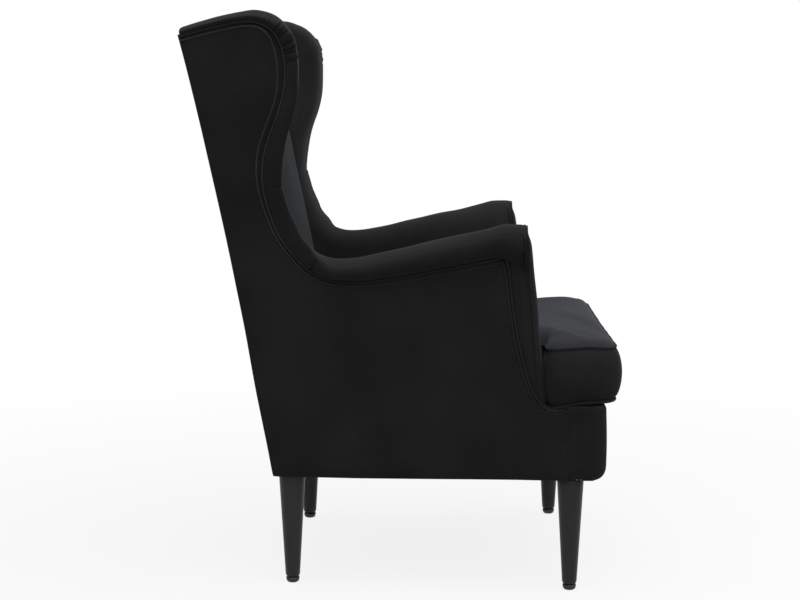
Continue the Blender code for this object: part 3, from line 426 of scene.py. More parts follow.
# Sections of the rolls in thousandths: share of the rise, of the outward bulge and of the side's depth
armSection = np.array([
    (0, 0, 0), (120, 620, 0), (270, 930, 0), (420, 1000, 0), (580, 930, 10), (740, 660, 30), (880, 280, 70),
    (965, 50, 170), (1000, 0, 330), (985, 0, 500), (930, 0, 670), (820, 0, 810), (640, 0, 910), (420, 0, 970),
    (200, 0, 995), (0, 0, 1000),
]) / 1000
wingSection = np.array([
    (0, 0, 0), (100, 240, 0), (260, 480, 0), (450, 700, 0), (640, 870, 0), (800, 970, 0), (920, 1000, 0),
    (985, 900, 0), (1000, 720, 0), (990, 480, 0), (975, 220, 20), (955, 0, 100), (920, 0, 320), (860, 0, 540),
    (760, 0, 740), (600, 0, 880), (380, 0, 960), (160, 0, 993), (0, 0, 1000),
]) / 1000

armWing = {
    "step": 0.005, "sectionPoints": 46, "wallPoints": 22, "wallPuff": 0.005, "tuck": 0.0012, "tuckLength": 0.012,
    "crease": 0.0044, "creaseWidth": 0.0046, "crossSeam": 0.0014, "gatherPitch": 0.0102, "gatherDepth": 0.0062,
    "endRound": 0.01, "waves": 0.0007,
    # Y, Z and the change of the rise, in tenths of a millimetre
    "trim": {
        right: ((-1500, 6308, 0), (-500, 6110, -28), (360, 5968, -48), (1466, 5970, -45), (2144, 6546, -15),
                (2101, 9780, -12), (2498, 10682, 0)),
        left: ((969, 5910, 8), (2144, 6546, 30), (2576, 7949, 20), (2101, 9780, 18), (2173, 10291, 30),
               (2288, 10512, 2), (2498, 10682, -26), (2697, 10744, -24)),
    },
}


def wallFoot(y, z, at):
    # where the inner wall under each station ends: on the deck for the arm, behind the inside back for the wing
    armY = np.interp(y, (-0.2344, -0.1, 0.1466), (-0.2592, -0.1, 0.168))
    wingZ = mix(0.33, 1.03, np.clip((z - 0.599) / 0.4754, 0, 1))
    wingY = backFaceY(wingZ) + 0.045
    overTop = np.clip((y - 0.2697) / 0.1431, 0, 1)
    after = at > distanceTo(sideRows, (0.2697, 1.0744))
    wingY = np.where(after, mix(0.3251, 0.398, overTop), wingY)
    wingZ = np.where(after, mix(1.03, 0.985, overTop), wingZ)
    share = smooth((at - creaseAt + 0.012) / 0.02)
    return mix(armY, wingY, share), mix(deckZ(armY), wingZ, share)


def buildArmWing(side, name):
    # stations along the seam by points round the roll and down the inner wall
    at = uneven(sideLength, armWing["step"], [
        (0, 0.02, 0.0022), (creaseAt - 0.01, creaseAt + 0.01, 0.0014), (gatherFrom, gatherTo, 0.0013),
        (crossSeamAt - 0.006, crossSeamAt + 0.006, 0.0012), (sideLength - 0.012, sideLength, 0.0012),
    ])[:, None]
    y, z, _, rise, lean = smoothCurve(sideRows, at[:, 0]).T[..., None]
    leanY, leanZ = -np.sin(np.radians(lean)), np.cos(np.radians(lean))
    # hand-stuffed rolls differ a little from side to side
    rise = rise + tableAt(at, sideRows, armWing["trim"][side])
    rollPoints, wallPoints = armWing["sectionPoints"], armWing["wallPoints"]
    armShape, wingShape = (smoothCurve(section, rollPoints, 3) for section in (armSection, wingSection))
    overTop = smooth((at - distanceTo(sideRows, (0.2173, 1.0291))) / 0.06)
    toWing = smooth((at - creaseAt + 0.05) / 0.1) * (1 - overTop)
    riseShare, out, deep = (mix(armShape[:, k], wingShape[:, k], toWing) for k in range(3))
    bulge = mix(mix(chair["armBulge"], chair["topBulge"], overTop), chair["wingBulge"], toWing)
    # the roll's front end runs smoothly down into the strip below it
    atFront = smooth(1 - at / 0.055)
    out = out * mix(1, 1 - 0.8 * smooth((riseShare - 0.25) / 0.75), overTop)
    out = out * mix(1, smooth(riseShare / 0.5), atFront)
    depth = deep * sideDepth - out * bulge + 0.0022 * atFront * (1 - smooth(riseShare / 0.12))
    # inner wall from the roll's inner foot, crowned a little
    footY, footZ = wallFoot(y, z, at)
    down = np.linspace(0, 1, wallPoints + 1)[1:]
    onWing = smooth((at - creaseAt) / 0.03)
    puff = armWing["wallPuff"] * np.sin(pi * np.clip(down * 1.25, 0, 1)) * mix(0.5, 1, onWing)
    allY = join((y + leanY * rise * riseShare, mix(y, footY, down)), axis=1)
    allZ = join((z + leanZ * rise * riseShare, mix(z, footZ, down)), axis=1)
    allDepth = join((depth, sideDepth + puff), axis=1)
    allDepth = allDepth + cornerTurn(allY, allZ) * np.clip(1 - allDepth / 0.03, 0, 1)
    grid = pointsOf(side * (halfWidth(allY, allZ) - allDepth), allY, allZ)
    # end of the roll at the rear corner, drawn in to a rounded nose
    core = pointsOf(side * (halfWidth(y, z) - 0.03), y + leanY * rise * 0.35, z + leanZ * rise * 0.35)
    before = np.clip((sideLength - at) / armWing["endRound"], 0, 1)
    drawn = np.sqrt(np.clip(1 - (1 - before) ** 2, 0.004, 1))[..., None]
    # place round the section, 0 to 1 on the roll and 2 on the wall
    sectionAt = join((np.linspace(0, 1, rollPoints), np.full(wallPoints, 2)))
    inRoll = sectionAt <= 1
    grid = np.where(inRoll[:, None], core + (grid - core) * drawn, grid)
    # seams, gathers and soft waves move points along the surface's normals
    top = int(np.argmax(armShape[:, 0]))
    normals = gridNormals(grid)
    if np.sum(normals[:, top:top + 1] * pointsOf(0, leanY, leanZ)) < 0:
        normals = -normals
    move = -armWing["tuck"] * smooth(1 - at / armWing["tuckLength"])
    crease = np.exp(-((at - creaseAt - 0.004) / armWing["creaseWidth"]) ** 2)
    move = move - armWing["crease"] * crease * mix(1, 0.15, smooth((sectionAt - 0.22) / 0.2))
    # across the wing the lower cover laps over the upper one
    above = at - crossSeamAt
    step = np.where(above < 0, np.exp(above / 0.012), -0.6 * np.exp(-above / 0.004)) * smooth(np.abs(above) / 0.0012)
    move += armWing["crossSeam"] * step * inRoll
    # rounded ridges with sharp valleys, unevenly spaced: |cos| of a wandering phase
    past = at - gatherFrom
    phase = past / armWing["gatherPitch"] + 0.32 * np.sin(past * 190) + 0.18 * np.sin(past * 410)
    deepness = mix(0.65, 1, 0.5 + 0.5 * np.sin(past * 260 + 1))
    pleat = (np.abs(np.cos(pi * phase)) ** 0.8 - 0.7) * deepness
    length = smooth(past / 0.025) * smooth((gatherTo - at) / 0.025)
    reach = 0.5 + 0.1 * np.sin(past * 330 + 2)
    spread = smooth((sectionAt - 0.01) / 0.08) * smooth((reach - sectionAt) / 0.18)
    move += armWing["gatherDepth"] * (pleat * length) * spread
    move += armWing["waves"] * ripple(grid, 0.07, 11)
    grid = grid + normals * (move * mix(0.25, 1, smooth(sectionAt / 0.08)))[..., None]
    nodes = [f"{node}_{name}" for node in ("arm_roll", "arm_pad", "wing_roll", "wing_pad")]
    softPiece(f"armWingCover_{name}", grid, velvet, 0.7, nodes, normals[:-1, :-1].reshape(-1, 3))


bothSides(buildArmWing)
print("stage: arms and wings")

# Outside panels
panel = {
    "puff": 0.0026, "edgeSink": 0.003, "weltBand": 0.006, "cornerRadius": 0.007, "backReturn": 0.01,
    "columns": 58, "waves": 0.0005, "pucker": 0.0005,
}

# Double welt: two cords beside the panel's seam, apart at the wing's front and together along the arm
doubleWelt = {
    "radius": 0.0019, "outerInset": 0.0018, "proud": 0.0016, "sides": 10,
    # Y, Z and the gap between the cords, or the share of the relief, all times ten thousand
    "gaps": [
        (-2935, 3515, 56), (-2505, 3807, 56), (-2180, 4938, 62), (-2035, 5980, 66), (-1860, 6400, 96), (-848, 6186, 92),
        (360, 5968, 88), (969, 5910, 72), (1466, 5970, 66), (1807, 6168, 70), (2311, 6796, 64), (2513, 7369, 75),
        (2576, 7949, 110), (2519, 8348, 124), (2133, 9471, 125), (2101, 9780, 143), (2173, 10291, 142),
        (2288, 10512, 118), (2498, 10682, 86), (3611, 10610, 84),
    ],
    "relief": [
        (-2935, 3515, 3000), (-2035, 5980, 3000), (-1860, 6400, 10000), (1466, 5970, 10000), (2311, 6796, 4000),
        (2133, 9471, 4000), (2498, 10682, 10000), (3611, 10610, 10000),
    ],
}


def buildOutside(side, name):
    # from the seam to the rear corner on lines across the side, then round the corner to the back
    at = uneven(curveLength(panelRows), 0.006, [(0.1, 0.22, 0.0025)])[:, None]
    y, z, rearZ = smoothCurve(panelRows, at[:, 0]).T[..., None]
    radius = panel["cornerRadius"]
    backEdge = coverBackY(rearZ)
    endY = backEdge - radius
    y = np.minimum(y, endY - 0.0005)
    even = np.linspace(0, 1, panel["columns"])
    share = smooth(even) * 0.5 + even * 0.5
    gridY, gridZ = mix(y, endY, share), mix(z, rearZ, share)
    reach = norm(pointsOf(endY - y, rearZ - z), axis=-1)
    fromSeam, fromRear = share * reach, (1 - share) * reach
    atLow = smooth((gridZ - legHeight) / 0.02)
    puff = panel["puff"] * (1 - np.exp(-np.maximum(fromSeam - panel["weltBand"], 0) / 0.014))
    puff = puff * smooth(fromRear / 0.02) * atLow
    sink = panel["edgeSink"] * tableAt(at, panelRows, doubleWelt["relief"]) * np.exp(-(fromSeam / 0.0095) ** 2) * atLow
    flat = pointsOf(halfWidth(gridY, gridZ), gridY, gridZ)
    puff = puff + panel["waves"] * ripple(flat, 0.16, 21) * smooth(fromSeam / 0.03) * smooth(fromRear / 0.03)
    pucker = np.sin(2 * pi * at / 0.028 + 1.5 * np.sin(at * 31)) * np.exp(-((fromSeam - 0.012) / 0.01) ** 2)
    gridX = flat[..., 0] + puff - sink + panel["pucker"] * pucker
    # corner arc and the return on the back
    turn = np.linspace(0, pi / 2, 7)[1:]
    cornerX = halfWidth(backEdge, rearZ) - radius
    backX = cornerX - panel["backReturn"] * np.array((0.3, 0.7, 0.9, 1))
    gridX = join((gridX, cornerX + radius * np.cos(turn), backX), axis=1)
    gridY = join((gridY, endY + radius * np.sin(turn), backEdge - (0, 0, 0.0012, 0.004)), axis=1)
    gridZ = join((gridZ, np.repeat(rearZ, 10, axis=1)), axis=1)
    gridZ = gridZ - lowDrop(gridY) * (1 - smooth((gridZ - legHeight) / 0.06))
    grid = pointsOf(side * gridX, gridY, gridZ)
    # rolled under the base
    under = [grid[0] + (-side * inward, 0, up) for inward, up in ((0.014, 0.001), (0.004, 0), (0.0012, 0.0012))]
    grid[0] += (0, 0, 0.004)
    softPiece(f"outsideCover_{name}", join((under, grid)), velvet, 0.9, [f"outside_panel_{name}"], (side, 0.3, 0))


bothSides(buildOutside)

outsideBack = {"inset": 0.015, "puff": 0.0024, "sink": 0.0012, "levels": 110, "columns": 80}


def buildOutsideBack():
    # a slightly full sheet between the two side panels' returns
    low, high = legHeight - chair["lowDrop"], chair["rearTop"] - 0.001
    z = np.linspace(low, high, outsideBack["levels"])[:, None]
    share = np.sin(np.linspace(-pi / 2, pi / 2, outsideBack["columns"]))
    wide = halfWidth(coverBackY(z), z) - outsideBack["inset"]
    edge = np.minimum((1 - np.abs(share)) * wide, np.minimum(z - low, high + 0.001 - z))
    puff = outsideBack["puff"] * smooth(edge / 0.03) - outsideBack["sink"] * np.exp(-edge / 0.004)
    grid = pointsOf(wide * share, coverBackY(z), z)
    grid[..., 1] += puff + 0.0004 * ripple(grid, 0.17, 31) * smooth(edge / 0.04)
    under = [grid[0] + (0, -0.014, 0.001), grid[0] + (0, -0.003, 0)]
    grid[0] += (0, 0, 0.003)
    over = [grid[-1] + (0, -0.004, 0.001), grid[-1] + (0, -0.016, 0.0012)]
    softPiece("outsideBackCover", join((under, grid, over)), velvet, 0.9, ["outside_back_panel"], (0, 1, 0))


buildOutsideBack()

# Inside back: face line from the deck up, over the rounded top and down to the rear seam
insideBack = {
    "crown": 0.002, "edgeFall": 0.0135, "edgeRoll": 0.012, "columns": 90, "levels": 130, "sideGap": 0.0015,
    "topOverlap": 0.007, "waves": 0.0009,
}


def buildInsideBack():
    topFront, radius = 1.0868, 0.032
    high = topFront - radius
    face = [(backFaceY(v), v) for v in np.linspace(0.322, high, 40)]
    roundY = backFaceY(high) + radius
    for turn in map(radians, (15, 30, 45, 60, 75, 90)):
        face.append((roundY - radius * cos(turn), high + radius * sin(turn)))
    top = chair["rearTop"]
    cornerY = backY(top)
    for share in (0.25, 0.5, 0.75):
        face.append((mix(roundY, cornerY - 0.012, share),
                     mix(topFront, top + 0.0135, share) + 0.002 * sin(pi * share)))
    overRear = ((-0.01, 0.0125), (-0.003, 0.0095), (0.0012, 0.004), (0.0004, -0.0003), (-0.004, -0.0016))
    face += [(cornerY + back, top + up) for back, up in overRear]
    line = smoothCurve(face, insideBack["levels"])
    y, z = line[:, :1], line[:, 1:]
    normal = across(line)
    share = np.sin(np.linspace(-pi / 2, pi / 2, insideBack["columns"]))
    gap = mix(insideBack["sideGap"], -insideBack["topOverlap"], smooth((z - 1.03) / 0.02))
    wide = halfWidth(y, z) - sideDepth - gap
    fromEdge = (1 - np.abs(share)) * wide
    crownUp = smooth((z - 0.42) / 0.35) * smooth((1.075 - z) / 0.12)
    onFace = y < roundY
    crown = insideBack["crown"] * crownUp * onFace * (1 - np.abs(share) ** 2.5)
    crown = crown - insideBack["edgeFall"] * onFace * smooth((1.08 - z) / 0.15) * np.abs(share) ** 3
    atEdge = 1 - np.clip(fromEdge / insideBack["edgeRoll"], 0, 1)
    roll = insideBack["edgeRoll"] * (1 - np.sqrt(np.clip(1 - atEdge**2, 0, 1)))
    out = crown - roll * mix(1, 0.25, smooth((y - cornerY + 0.04) / 0.03))
    out = out + insideBack["waves"] * ripple(pointsOf(wide * share, y, z), 0.15, 41) * smooth(fromEdge / 0.03)
    grid = pointsOf(wide * share, y + normal[:, :1] * out, z + normal[:, 1:] * out)
    softPiece("insideBackCover", grid, shadedInsideVelvet, 0.8, ["inside_back_pad"], (0, -0.6, 0.4))


buildInsideBack()
print("stage: panels and back")

# Arm facings with their welts
facing = {
    "low": 0.359, "high": 0.6972, "weltRadius": 0.0022, "points": 150,
    "thickness": ((0.3642, 0.0149), (0.4365, 0.0134), (0.5103, 0.0121), (0.5604, 0.0125), (0.5954, 0.0116),
                  (0.6334, 0.011), (0.6714, 0.0062), (0.6902, 0.0016), (0.7, 0.0007)),
}
# Its outline in thousandths: share of the side's depth, of the bulge and of the height
facingOutline = np.array([
    (0, 0, 0), (0, 0, 350), (0, 0, 660), (0, 200, 765), (0, 800, 810), (0, 1000, 870), (0, 720, 940),
    (120, 0, 985), (380, 0, 1000), (650, 0, 990), (870, 0, 955), (985, 0, 900), (1000, 0, 820), (1000, 0, 680),
    (1000, 0, 350), (1000, 0, 0),
]) / 1000


def buildFacing(side, name):
    # rings from the outline to a spine, domed forward; the welt lies on the outline
    shape = [(deep * sideDepth - out * chair["armBulge"], mix(facing["low"], facing["high"], up))
             for deep, out, up in facingOutline]
    upper = smoothCurve(shape, facing["points"])
    outline = join((upper, np.linspace(shape[-1], shape[0], 22)[1:-1]))
    spine = pointsOf(np.interp(outline[:, 1], (0.3665, 0.6, 0.665, 0.7), (0.031, 0.031, 0.024, 0.022)),
                     np.clip(outline[:, 1], facing["low"] + 0.02, facing["high"] - 0.034))
    rings = []
    for pull in (0, 0.03, 0.08, 0.16, 0.28, 0.44, 0.62, 0.8, 0.94, 1):
        deep, z = mix(outline, spine, pull).T
        y = facingY(z) - np.interp(z, *zip(*facing["thickness"])) * domed(min(pull / 0.62, 1))
        rings.append(pointsOf(side * (halfWidth(y, z) - deep), y, z))
    grid = np.array(rings)
    grid[..., 1] -= 0.0004 * ripple(grid, 0.05, 51)
    grid = join((grid[:1] + (0, 0.006, 0), grid))
    softPiece(f"armFacing_{name}", grid, velvet, 0.8, [f"arm_facing_{name}"], (0, -1, 0), ring=True)
    deep, z = upper.T
    y = facingY(z) - 0.001
    path = pointsOf(side * (halfWidth(y, z) - deep), y, z)
    tubePiece(f"facingWelt_{name}", path, facing["weltRadius"], (0, -1, 0), 14, velvet)


bothSides(buildFacing)

frontStrip = {"puff": 0.003, "wrinkle": 0.0009, "columns": 24}


def buildFrontStrip(side, name):
    # between the side's seam and the facing, with soft upright wrinkles
    y, z = smoothCurve(baseRows[baseRows[:, 0] > -0.274], 110).T[:2, :, None]
    share = join(([-0.3, -0.12, -0.04], np.linspace(0, 1, frontStrip["columns"])))
    front = facingY(z) + 0.001
    gridY = mix(y, front, share)
    arch = np.sin(pi * np.maximum(share, 0))
    tucked = 0.004 * np.clip(-share / 0.04, 0, 1)
    puff = frontStrip["puff"] * arch * np.clip((y - front) / 0.03, 0, 1) - tucked
    wrinkle = frontStrip["wrinkle"] * np.sin(share * 15 + 0.6 * np.sin(z * 40)) * smooth((z - 0.44) / 0.12) * arch
    grid = pointsOf(side * (halfWidth(gridY, z) + puff + wrinkle - 0.001), gridY, z)
    softPiece(f"frontStrip_{name}", grid, velvet, 0.8, [f"arm_front_pad_{name}"], (side, 0, 0))


bothSides(buildFrontStrip)
print("stage: facings and front strips")

# Apron: the padded front of the base, round both corners to the side seams
apron = {
    "seam": -0.3127, "corner": 0.022, "edge": 0.026, "crown": 0.0056, "grooves": (-0.3303, -0.3377),
    "grooveDepth": 0.0016,
}


def apronPlan(z, drawn):
    # along one side, round the corner, across the front and back down the other side
    seam, corner = apron["seam"], apron["corner"]
    wide = halfWidth(apronY + corner, z) - drawn / 2
    sideY = join(([seam + 0.009, seam + 0.005, seam + 0.002], np.linspace(seam, apronY + corner, 30)[:-1]))
    sideX = halfWidth(sideY, z) - drawn / 2 - 0.004 * smooth((sideY - seam) / 0.005)
    turn = np.linspace(0, pi / 2, 16)
    frontX = np.linspace(wide - corner, 0, 50)[1:]
    cornerY = apronY + drawn + corner * (1 - np.sin(turn))
    half = pointsOf(join((sideX, wide - corner * (1 - np.cos(turn)), frontX)),
                    join((sideY, cornerY, np.full(len(frontX), apronY + drawn))))
    return join((half * (-1, 1), half[-2::-1])).T


def buildApron():
    low, top, edge = legHeight, chair["baseTop"], apron["edge"]
    turns = np.linspace(0, pi / 2, 8)
    rows = [(low + 0.001, edge + 0.014)]
    rows += [(low + edge * (1 - cos(t)), edge * (1 - sin(t)) * 0.7) for t in turns]
    rows += [(v, 0) for v in np.linspace(low + 0.028, top - 0.012, 26)]
    rows += [(top + 0.0068 - 0.005 * (1 - sin(t)), 0.005 * (1 - cos(t))) for t in turns]
    rows += [(top + 0.0072, 0.022), (top + 0.006, 0.06), (top - 0.001, 0.105)]
    rings = []
    for z, drawn in rows:
        x, y = apronPlan(z, drawn)
        arch = sin(pi * np.clip((z - low) / (top - low), 0, 1))
        nearFront = smooth((-0.3632 - y) / 0.02)
        out = 0.0015 * arch * (1 - nearFront) * smooth((apron["seam"] - y) / 0.006)
        groove = sum(np.exp(-((y - g) / 0.0014) ** 2) for g in apron["grooves"]) * apron["grooveDepth"]
        rings.append(pointsOf(x + np.sign(x) * (out - groove * (1 - nearFront)),
                              y - apron["crown"] * arch * nearFront * (1 - (x / 0.36) ** 4), z))
    grid = np.array(rings)
    # outwards is away from the middle of the base
    away = (grid[:-1, :-1] + grid[1:, 1:]) / 2 - (0, -0.2, 0.28)
    softPiece("apronCover", grid, velvet, 0.8, ["front_apron"], away.reshape(-1, 3))


buildApron()

ledge = {"rise": 0.0082}


def buildLedge(side, name):
    # the top of the base beside the cushion's ear, turned in from the side's seam
    y = np.linspace(-0.33, -0.248, 46)[:, None]
    line = smoothCurve(baseRows, 400)
    line = line[(line[:, 1] > 0.347) & (line[:, 1] < 0.38)]
    seamLine = np.interp(y, line[:, 0], line[:, 1])
    share = np.linspace(0, 1, 14)
    turn = share * pi / 2
    inward = 0.016 * (1 - np.cos(turn)) + 0.05 * share**3
    grid = pointsOf(side * (halfWidth(y, seamLine) - inward), y, seamLine - 0.001 + ledge["rise"] * np.sin(turn))
    softPiece(f"baseLedge_{name}", grid, velvet, 0.8, [], (side, 0, 0.6))


bothSides(buildLedge)
print("stage: apron")


def buildDoubleWelt(side, name):
    at = np.arange(distanceTo(panelRows, (-0.2935, 0.3515)), curveLength(panelRows) - 0.0005, 0.004)
    line = smoothCurve(panelRows, at)[:, :2]
    proud = mix(0.0001, doubleWelt["proud"], tableAt(at, panelRows, doubleWelt["relief"]))
    inset, gap = doubleWelt["outerInset"], tableAt(at, panelRows, doubleWelt["gaps"])
    for label, offset in (("Outer", inset + 0 * gap), ("Inner", inset + gap)):
        y, z = (line - across(line) * offset[:, None]).T
        path = pointsOf(side * (halfWidth(y, z) + proud - cornerTurn(y, z)), y, z)
        tubePiece(f"doubleWelt{label}_{name}", path, doubleWelt["radius"], (side, 0, 0), doubleWelt["sides"],
                  weltHighlightVelvet, f"double_welt_{name}")


bothSides(buildDoubleWelt)
print("stage: welts")

# Seat cushion
cushion = {
    "front": -0.4022, "earRear": -0.2735, "rear": 0.1148, "ear": 0.338, "sideInset": 0.0665, "radius": 0.03,
    "height": 0.104, "belly": 0.0035, "shoulder": 0.0135, "shoulderRear": 0.019, "shoulderReach": 0.025,
    "crown": 0.02, "crownReach": 0.07, "dip": 0.003, "borderBulge": 0.0132, "voxel": 0.0055,
    "pipingRadius": 0.0032, "simulationFrames": 20, "cap": 0.005,
    "cloth": {
        "quality": 6, "mass": 0.4, "tension_stiffness": 14, "compression_stiffness": 14, "shear_stiffness": 6,
        "bending_stiffness": 3, "use_pressure": True, "uniform_pressure_force": 4,
        "vertex_group_mass": "seams", "pin_stiffness": 1,
    },
}


def fillet(before, corner, after, radius, count):
    before, corner, after = map(np.array, (before, corner, after))
    a, b = (corner + (end - corner) / norm(end - corner) * radius for end in (before, after))
    t = np.linspace(0, 1, count)[:, None]
    return a * (1 - t) ** 2 + corner * 2 * t * (1 - t) + b * t * t


def armSide(y):
    return halfWidth(y, chair["baseTop"]) - cushion["sideInset"]


def cushionOutline(grow, count):
    # T shape in plan with rounded corners, as evenly spaced points
    front, earRear = cushion["front"] - grow, cushion["earRear"] + grow
    rear, ear, radius = cushion["rear"] + grow, cushion["ear"] + grow, cushion["radius"]
    neck, tail = armSide(cushion["earRear"]) + grow, armSide(cushion["rear"]) + grow
    half = join((
        [(0, front + 0.002), (ear * 0.5, front + 0.0012)],
        fillet((0, front), (ear, front), (ear, earRear), radius, 12),
        fillet((ear, front), (ear, earRear), (neck, earRear), radius * 0.7, 9),
        fillet((ear, earRear), (neck, earRear), (tail, rear), radius * 0.3, 7),
        [(mix(neck, tail, 0.5) - 0.003, mix(earRear, rear, 0.5))],
        fillet((neck, earRear), (tail, rear), (0, rear), radius, 12),
        [(tail * 0.5, rear - 0.002)],
    ))
    whole = join((half, [(0, rear - 0.002)], half[:0:-1] * (-1, 1), half[:1]))
    length = lengthsAlong(whole)
    at = np.linspace(0, length[-1], count, endpoint=False)
    return pointsOf(np.interp(at, length, whole[:, 0]), np.interp(at, length, whole[:, 1]))


def outwardOf(outline):
    # direction out of a closed outline at each point
    step = np.roll(outline, -1, axis=0) - np.roll(outline, 1, axis=0)
    return pointsOf(step[:, 1], -step[:, 0])


def inParts(points):
    # a few thousand points at a time, to spare the memory
    return np.array_split(points, len(points) // 4000 + 1)


def edgeDistance(points, outline):
    # least distance in plan from each point to the outline's segments
    step = np.roll(outline, -1, axis=0) - outline
    best = []
    for part in inParts(points):
        away = part[:, None] - outline
        t = np.clip((away * step).sum(-1) / (step * step).sum(-1), 0, 1)
        best.append(norm(away - t[..., None] * step, axis=-1).min(axis=1))
    return join(best)


def seamZ(y, upper):
    # the welts' height, lifted a little at the front
    if upper:
        lift = 0.0086 * smooth((-0.06 - y) / 0.23) - 0.0055 * smooth((-0.345 - y) / 0.05)
    else:
        lift = 0.0066 * smooth((-0.268 - y) / 0.075)
    return deckZ(y) + cushion["belly"] + (cushion["height"] if upper else 0) + lift


def crownAt(points, outline):
    # a round shoulder beside the seam, and a fuller middle that falls off towards the ears and the rear
    near = np.clip(edgeDistance(points, outline) / cushion["shoulderReach"], 0, 1)
    x, y = points.T
    fromFront = y - cushion["front"]
    steep = 1 - (1 - np.clip(fromFront / cushion["crownReach"], 0, 1)) ** 2
    rise = mix(smooth(fromFront / 0.13), steep, smooth((x + 0.26) / 0.14))
    # one side is filled fuller than the other
    middle = smooth(np.where(x < 0, (0.335 + x) / 0.05, (0.31 - x) / 0.13)) * rise
    height = mix(cushion["shoulderRear"], cushion["shoulder"], smooth((-0.06 - y) / 0.23))
    height = height + 0.003 * smooth((-0.345 - y) / 0.05)
    # a soft hollow between the ear and the middle
    dip = cushion["dip"] * np.exp(-((np.abs(x) - 0.301) / 0.009) ** 2)
    dip = dip * smooth((y + 0.372) / 0.085) * smooth((-0.19 - y) / 0.05) * near
    return height * domed(near) + cushion["crown"] * middle * mix(0.45, 1, smooth((-0.08 - y) / 0.28)) * near - dip


def applyModifiers(piece):
    graph = bpy.context.evaluated_depsgraph_get()
    mesh = bpy.data.meshes.new_from_object(piece.evaluated_get(graph))
    piece.modifiers.clear()
    piece.data = mesh
    mesh.polygons.foreach_set("use_smooth", np.ones(len(mesh.polygons), dtype=bool))


def readAll(things, key, width, kind):
    values = np.empty(len(things) * width, dtype=kind)
    things.foreach_get(key, values)
    return values


def readPoints(mesh):
    return readAll(mesh.vertices, "co", 3, np.float32).reshape(-1, 3).astype(float)


def writePoints(mesh, points):
    mesh.vertices.foreach_set("co", np.asarray(points, dtype=np.float32).ravel())
    mesh.update()


def simulateCushion(piece, pinned):
    # air pressure between the seams, with gravity off
    weights = piece.vertex_groups.new(name="seams")
    for value in (1, 0.3):
        weights.add(np.flatnonzero(pinned == value).tolist(), value, "REPLACE")
    cloth = piece.modifiers.new("velvetCase", "CLOTH")
    for key, value in cushion["cloth"].items():
        setattr(cloth.settings, key, value)
    cloth.settings.effector_weights.gravity = 0
    last = cushion["simulationFrames"]
    cloth.point_cache.frame_start, cloth.point_cache.frame_end = 1, last
    for number in range(1, last + 1):
        bpy.context.scene.frame_set(number)
    graph = bpy.context.evaluated_depsgraph_get()
    moved = readPoints(piece.evaluated_get(graph).data)
    piece.modifiers.remove(cloth)
    piece.vertex_groups.clear()
    bpy.context.scene.frame_set(1)
    return moved


def buildCase():
    # stacked outlines with both ends filled, remeshed evenly
    count, levels = 520, 12
    outline = cushionOutline(0.0005, count)
    rings = pointsOf(*outline.T, np.linspace(0, cushion["height"], levels)[:, None]).reshape(-1, 3)
    faces = gridFaces(levels, count, ring=True).tolist()
    faces += [list(range(count)), list(range(len(rings) - count, len(rings)))[::-1]]
    piece = addObject("cushionCase", rings, faces, litSeatVelvet, "cushion")
    remesh = piece.modifiers.new("even", "REMESH")
    remesh.mode = "VOXEL"
    remesh.voxel_size = cushion["voxel"]
    remesh.use_smooth_shade = True
    applyModifiers(piece)
    points = readPoints(piece.data)
    flat = points[:, :2]
    up = np.clip(points[:, 2] / cushion["height"], 0, 1)
    inside = edgeDistance(flat, outline)
    onTop = smooth((up - 0.8) / 0.2)
    onBorder = smooth((0.008 - inside) / 0.006)
    z = mix(seamZ(flat[:, 1], False), seamZ(flat[:, 1], True), up)
    z = z + onTop * crownAt(flat, outline) * smooth(inside / 0.004)
    # the border swells between its welts, least where the arms and the back press on it
    free = mix(0.06, 1, smooth((cushion["earRear"] + 0.012 - flat[:, 1]) / 0.024))
    rounded = 1 - (2 * up - 1) ** 2
    swell = cushion["borderBulge"] * rounded**0.8 * free - 0.0022 * np.exp(-rounded / 0.12) * smooth(rounded / 0.06)
    nearest = join([norm(part[:, None] - outline, axis=-1).argmin(axis=1) for part in inParts(flat)])
    flat = flat + unit(outwardOf(outline))[nearest] * (swell * onBorder)[:, None]
    points = np.column_stack((flat, z))
    points[:, 2] += 0.001 * ripple(points, 0.11, 61) * onTop * smooth(inside / 0.05)
    writePoints(piece.data, points)
    # the seams are held, and the lower border a little
    atSeam = (inside < 0.009) & ((up > 0.93) | (up < 0.07))
    pinned = np.where(atSeam, 1, np.where(up < 0.3, 0.3, 0))
    shift = simulateCushion(piece, pinned) - points
    length = norm(shift, axis=1, keepdims=True)
    shift *= np.minimum(1, cushion["cap"] / np.maximum(length, 1e-9))
    pressed = np.where(up < 0.5, 0.15, 1) * mix(0.3, 1, smooth((cushion["earRear"] + 0.03 - flat[:, 1]) / 0.05))
    writePoints(piece.data, points + shift * np.where((up > 0.5) & (inside > 0.01), 1, pressed)[:, None])
    print("stage: cushion simulated, largest move", round(float(length.max()), 4))
    soften = piece.modifiers.new("soften", "SMOOTH")
    soften.factor, soften.iterations = 0.5, 5
    subdivide = piece.modifiers.new("finer", "SUBSURF")
    subdivide.levels = subdivide.render_levels = 1
    applyModifiers(piece)
    # painted light: the top takes a lighter, bluish copy of the velvet for the top light and sheen it catches, so it
    # looks lighter than the border's
    piece.data.materials.append(velvet)
    points = readPoints(piece.data)
    corners = readAll(piece.data.loops, "vertex_index", 1, np.int32)
    first = points[corners[readAll(piece.data.polygons, "loop_start", 1, np.int32)]]
    piece.data.polygons.foreach_set("material_index", (first[:, 2] < seamZ(first[:, 1], True)).astype(np.int32))
    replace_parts(piece, "cushion_cover")


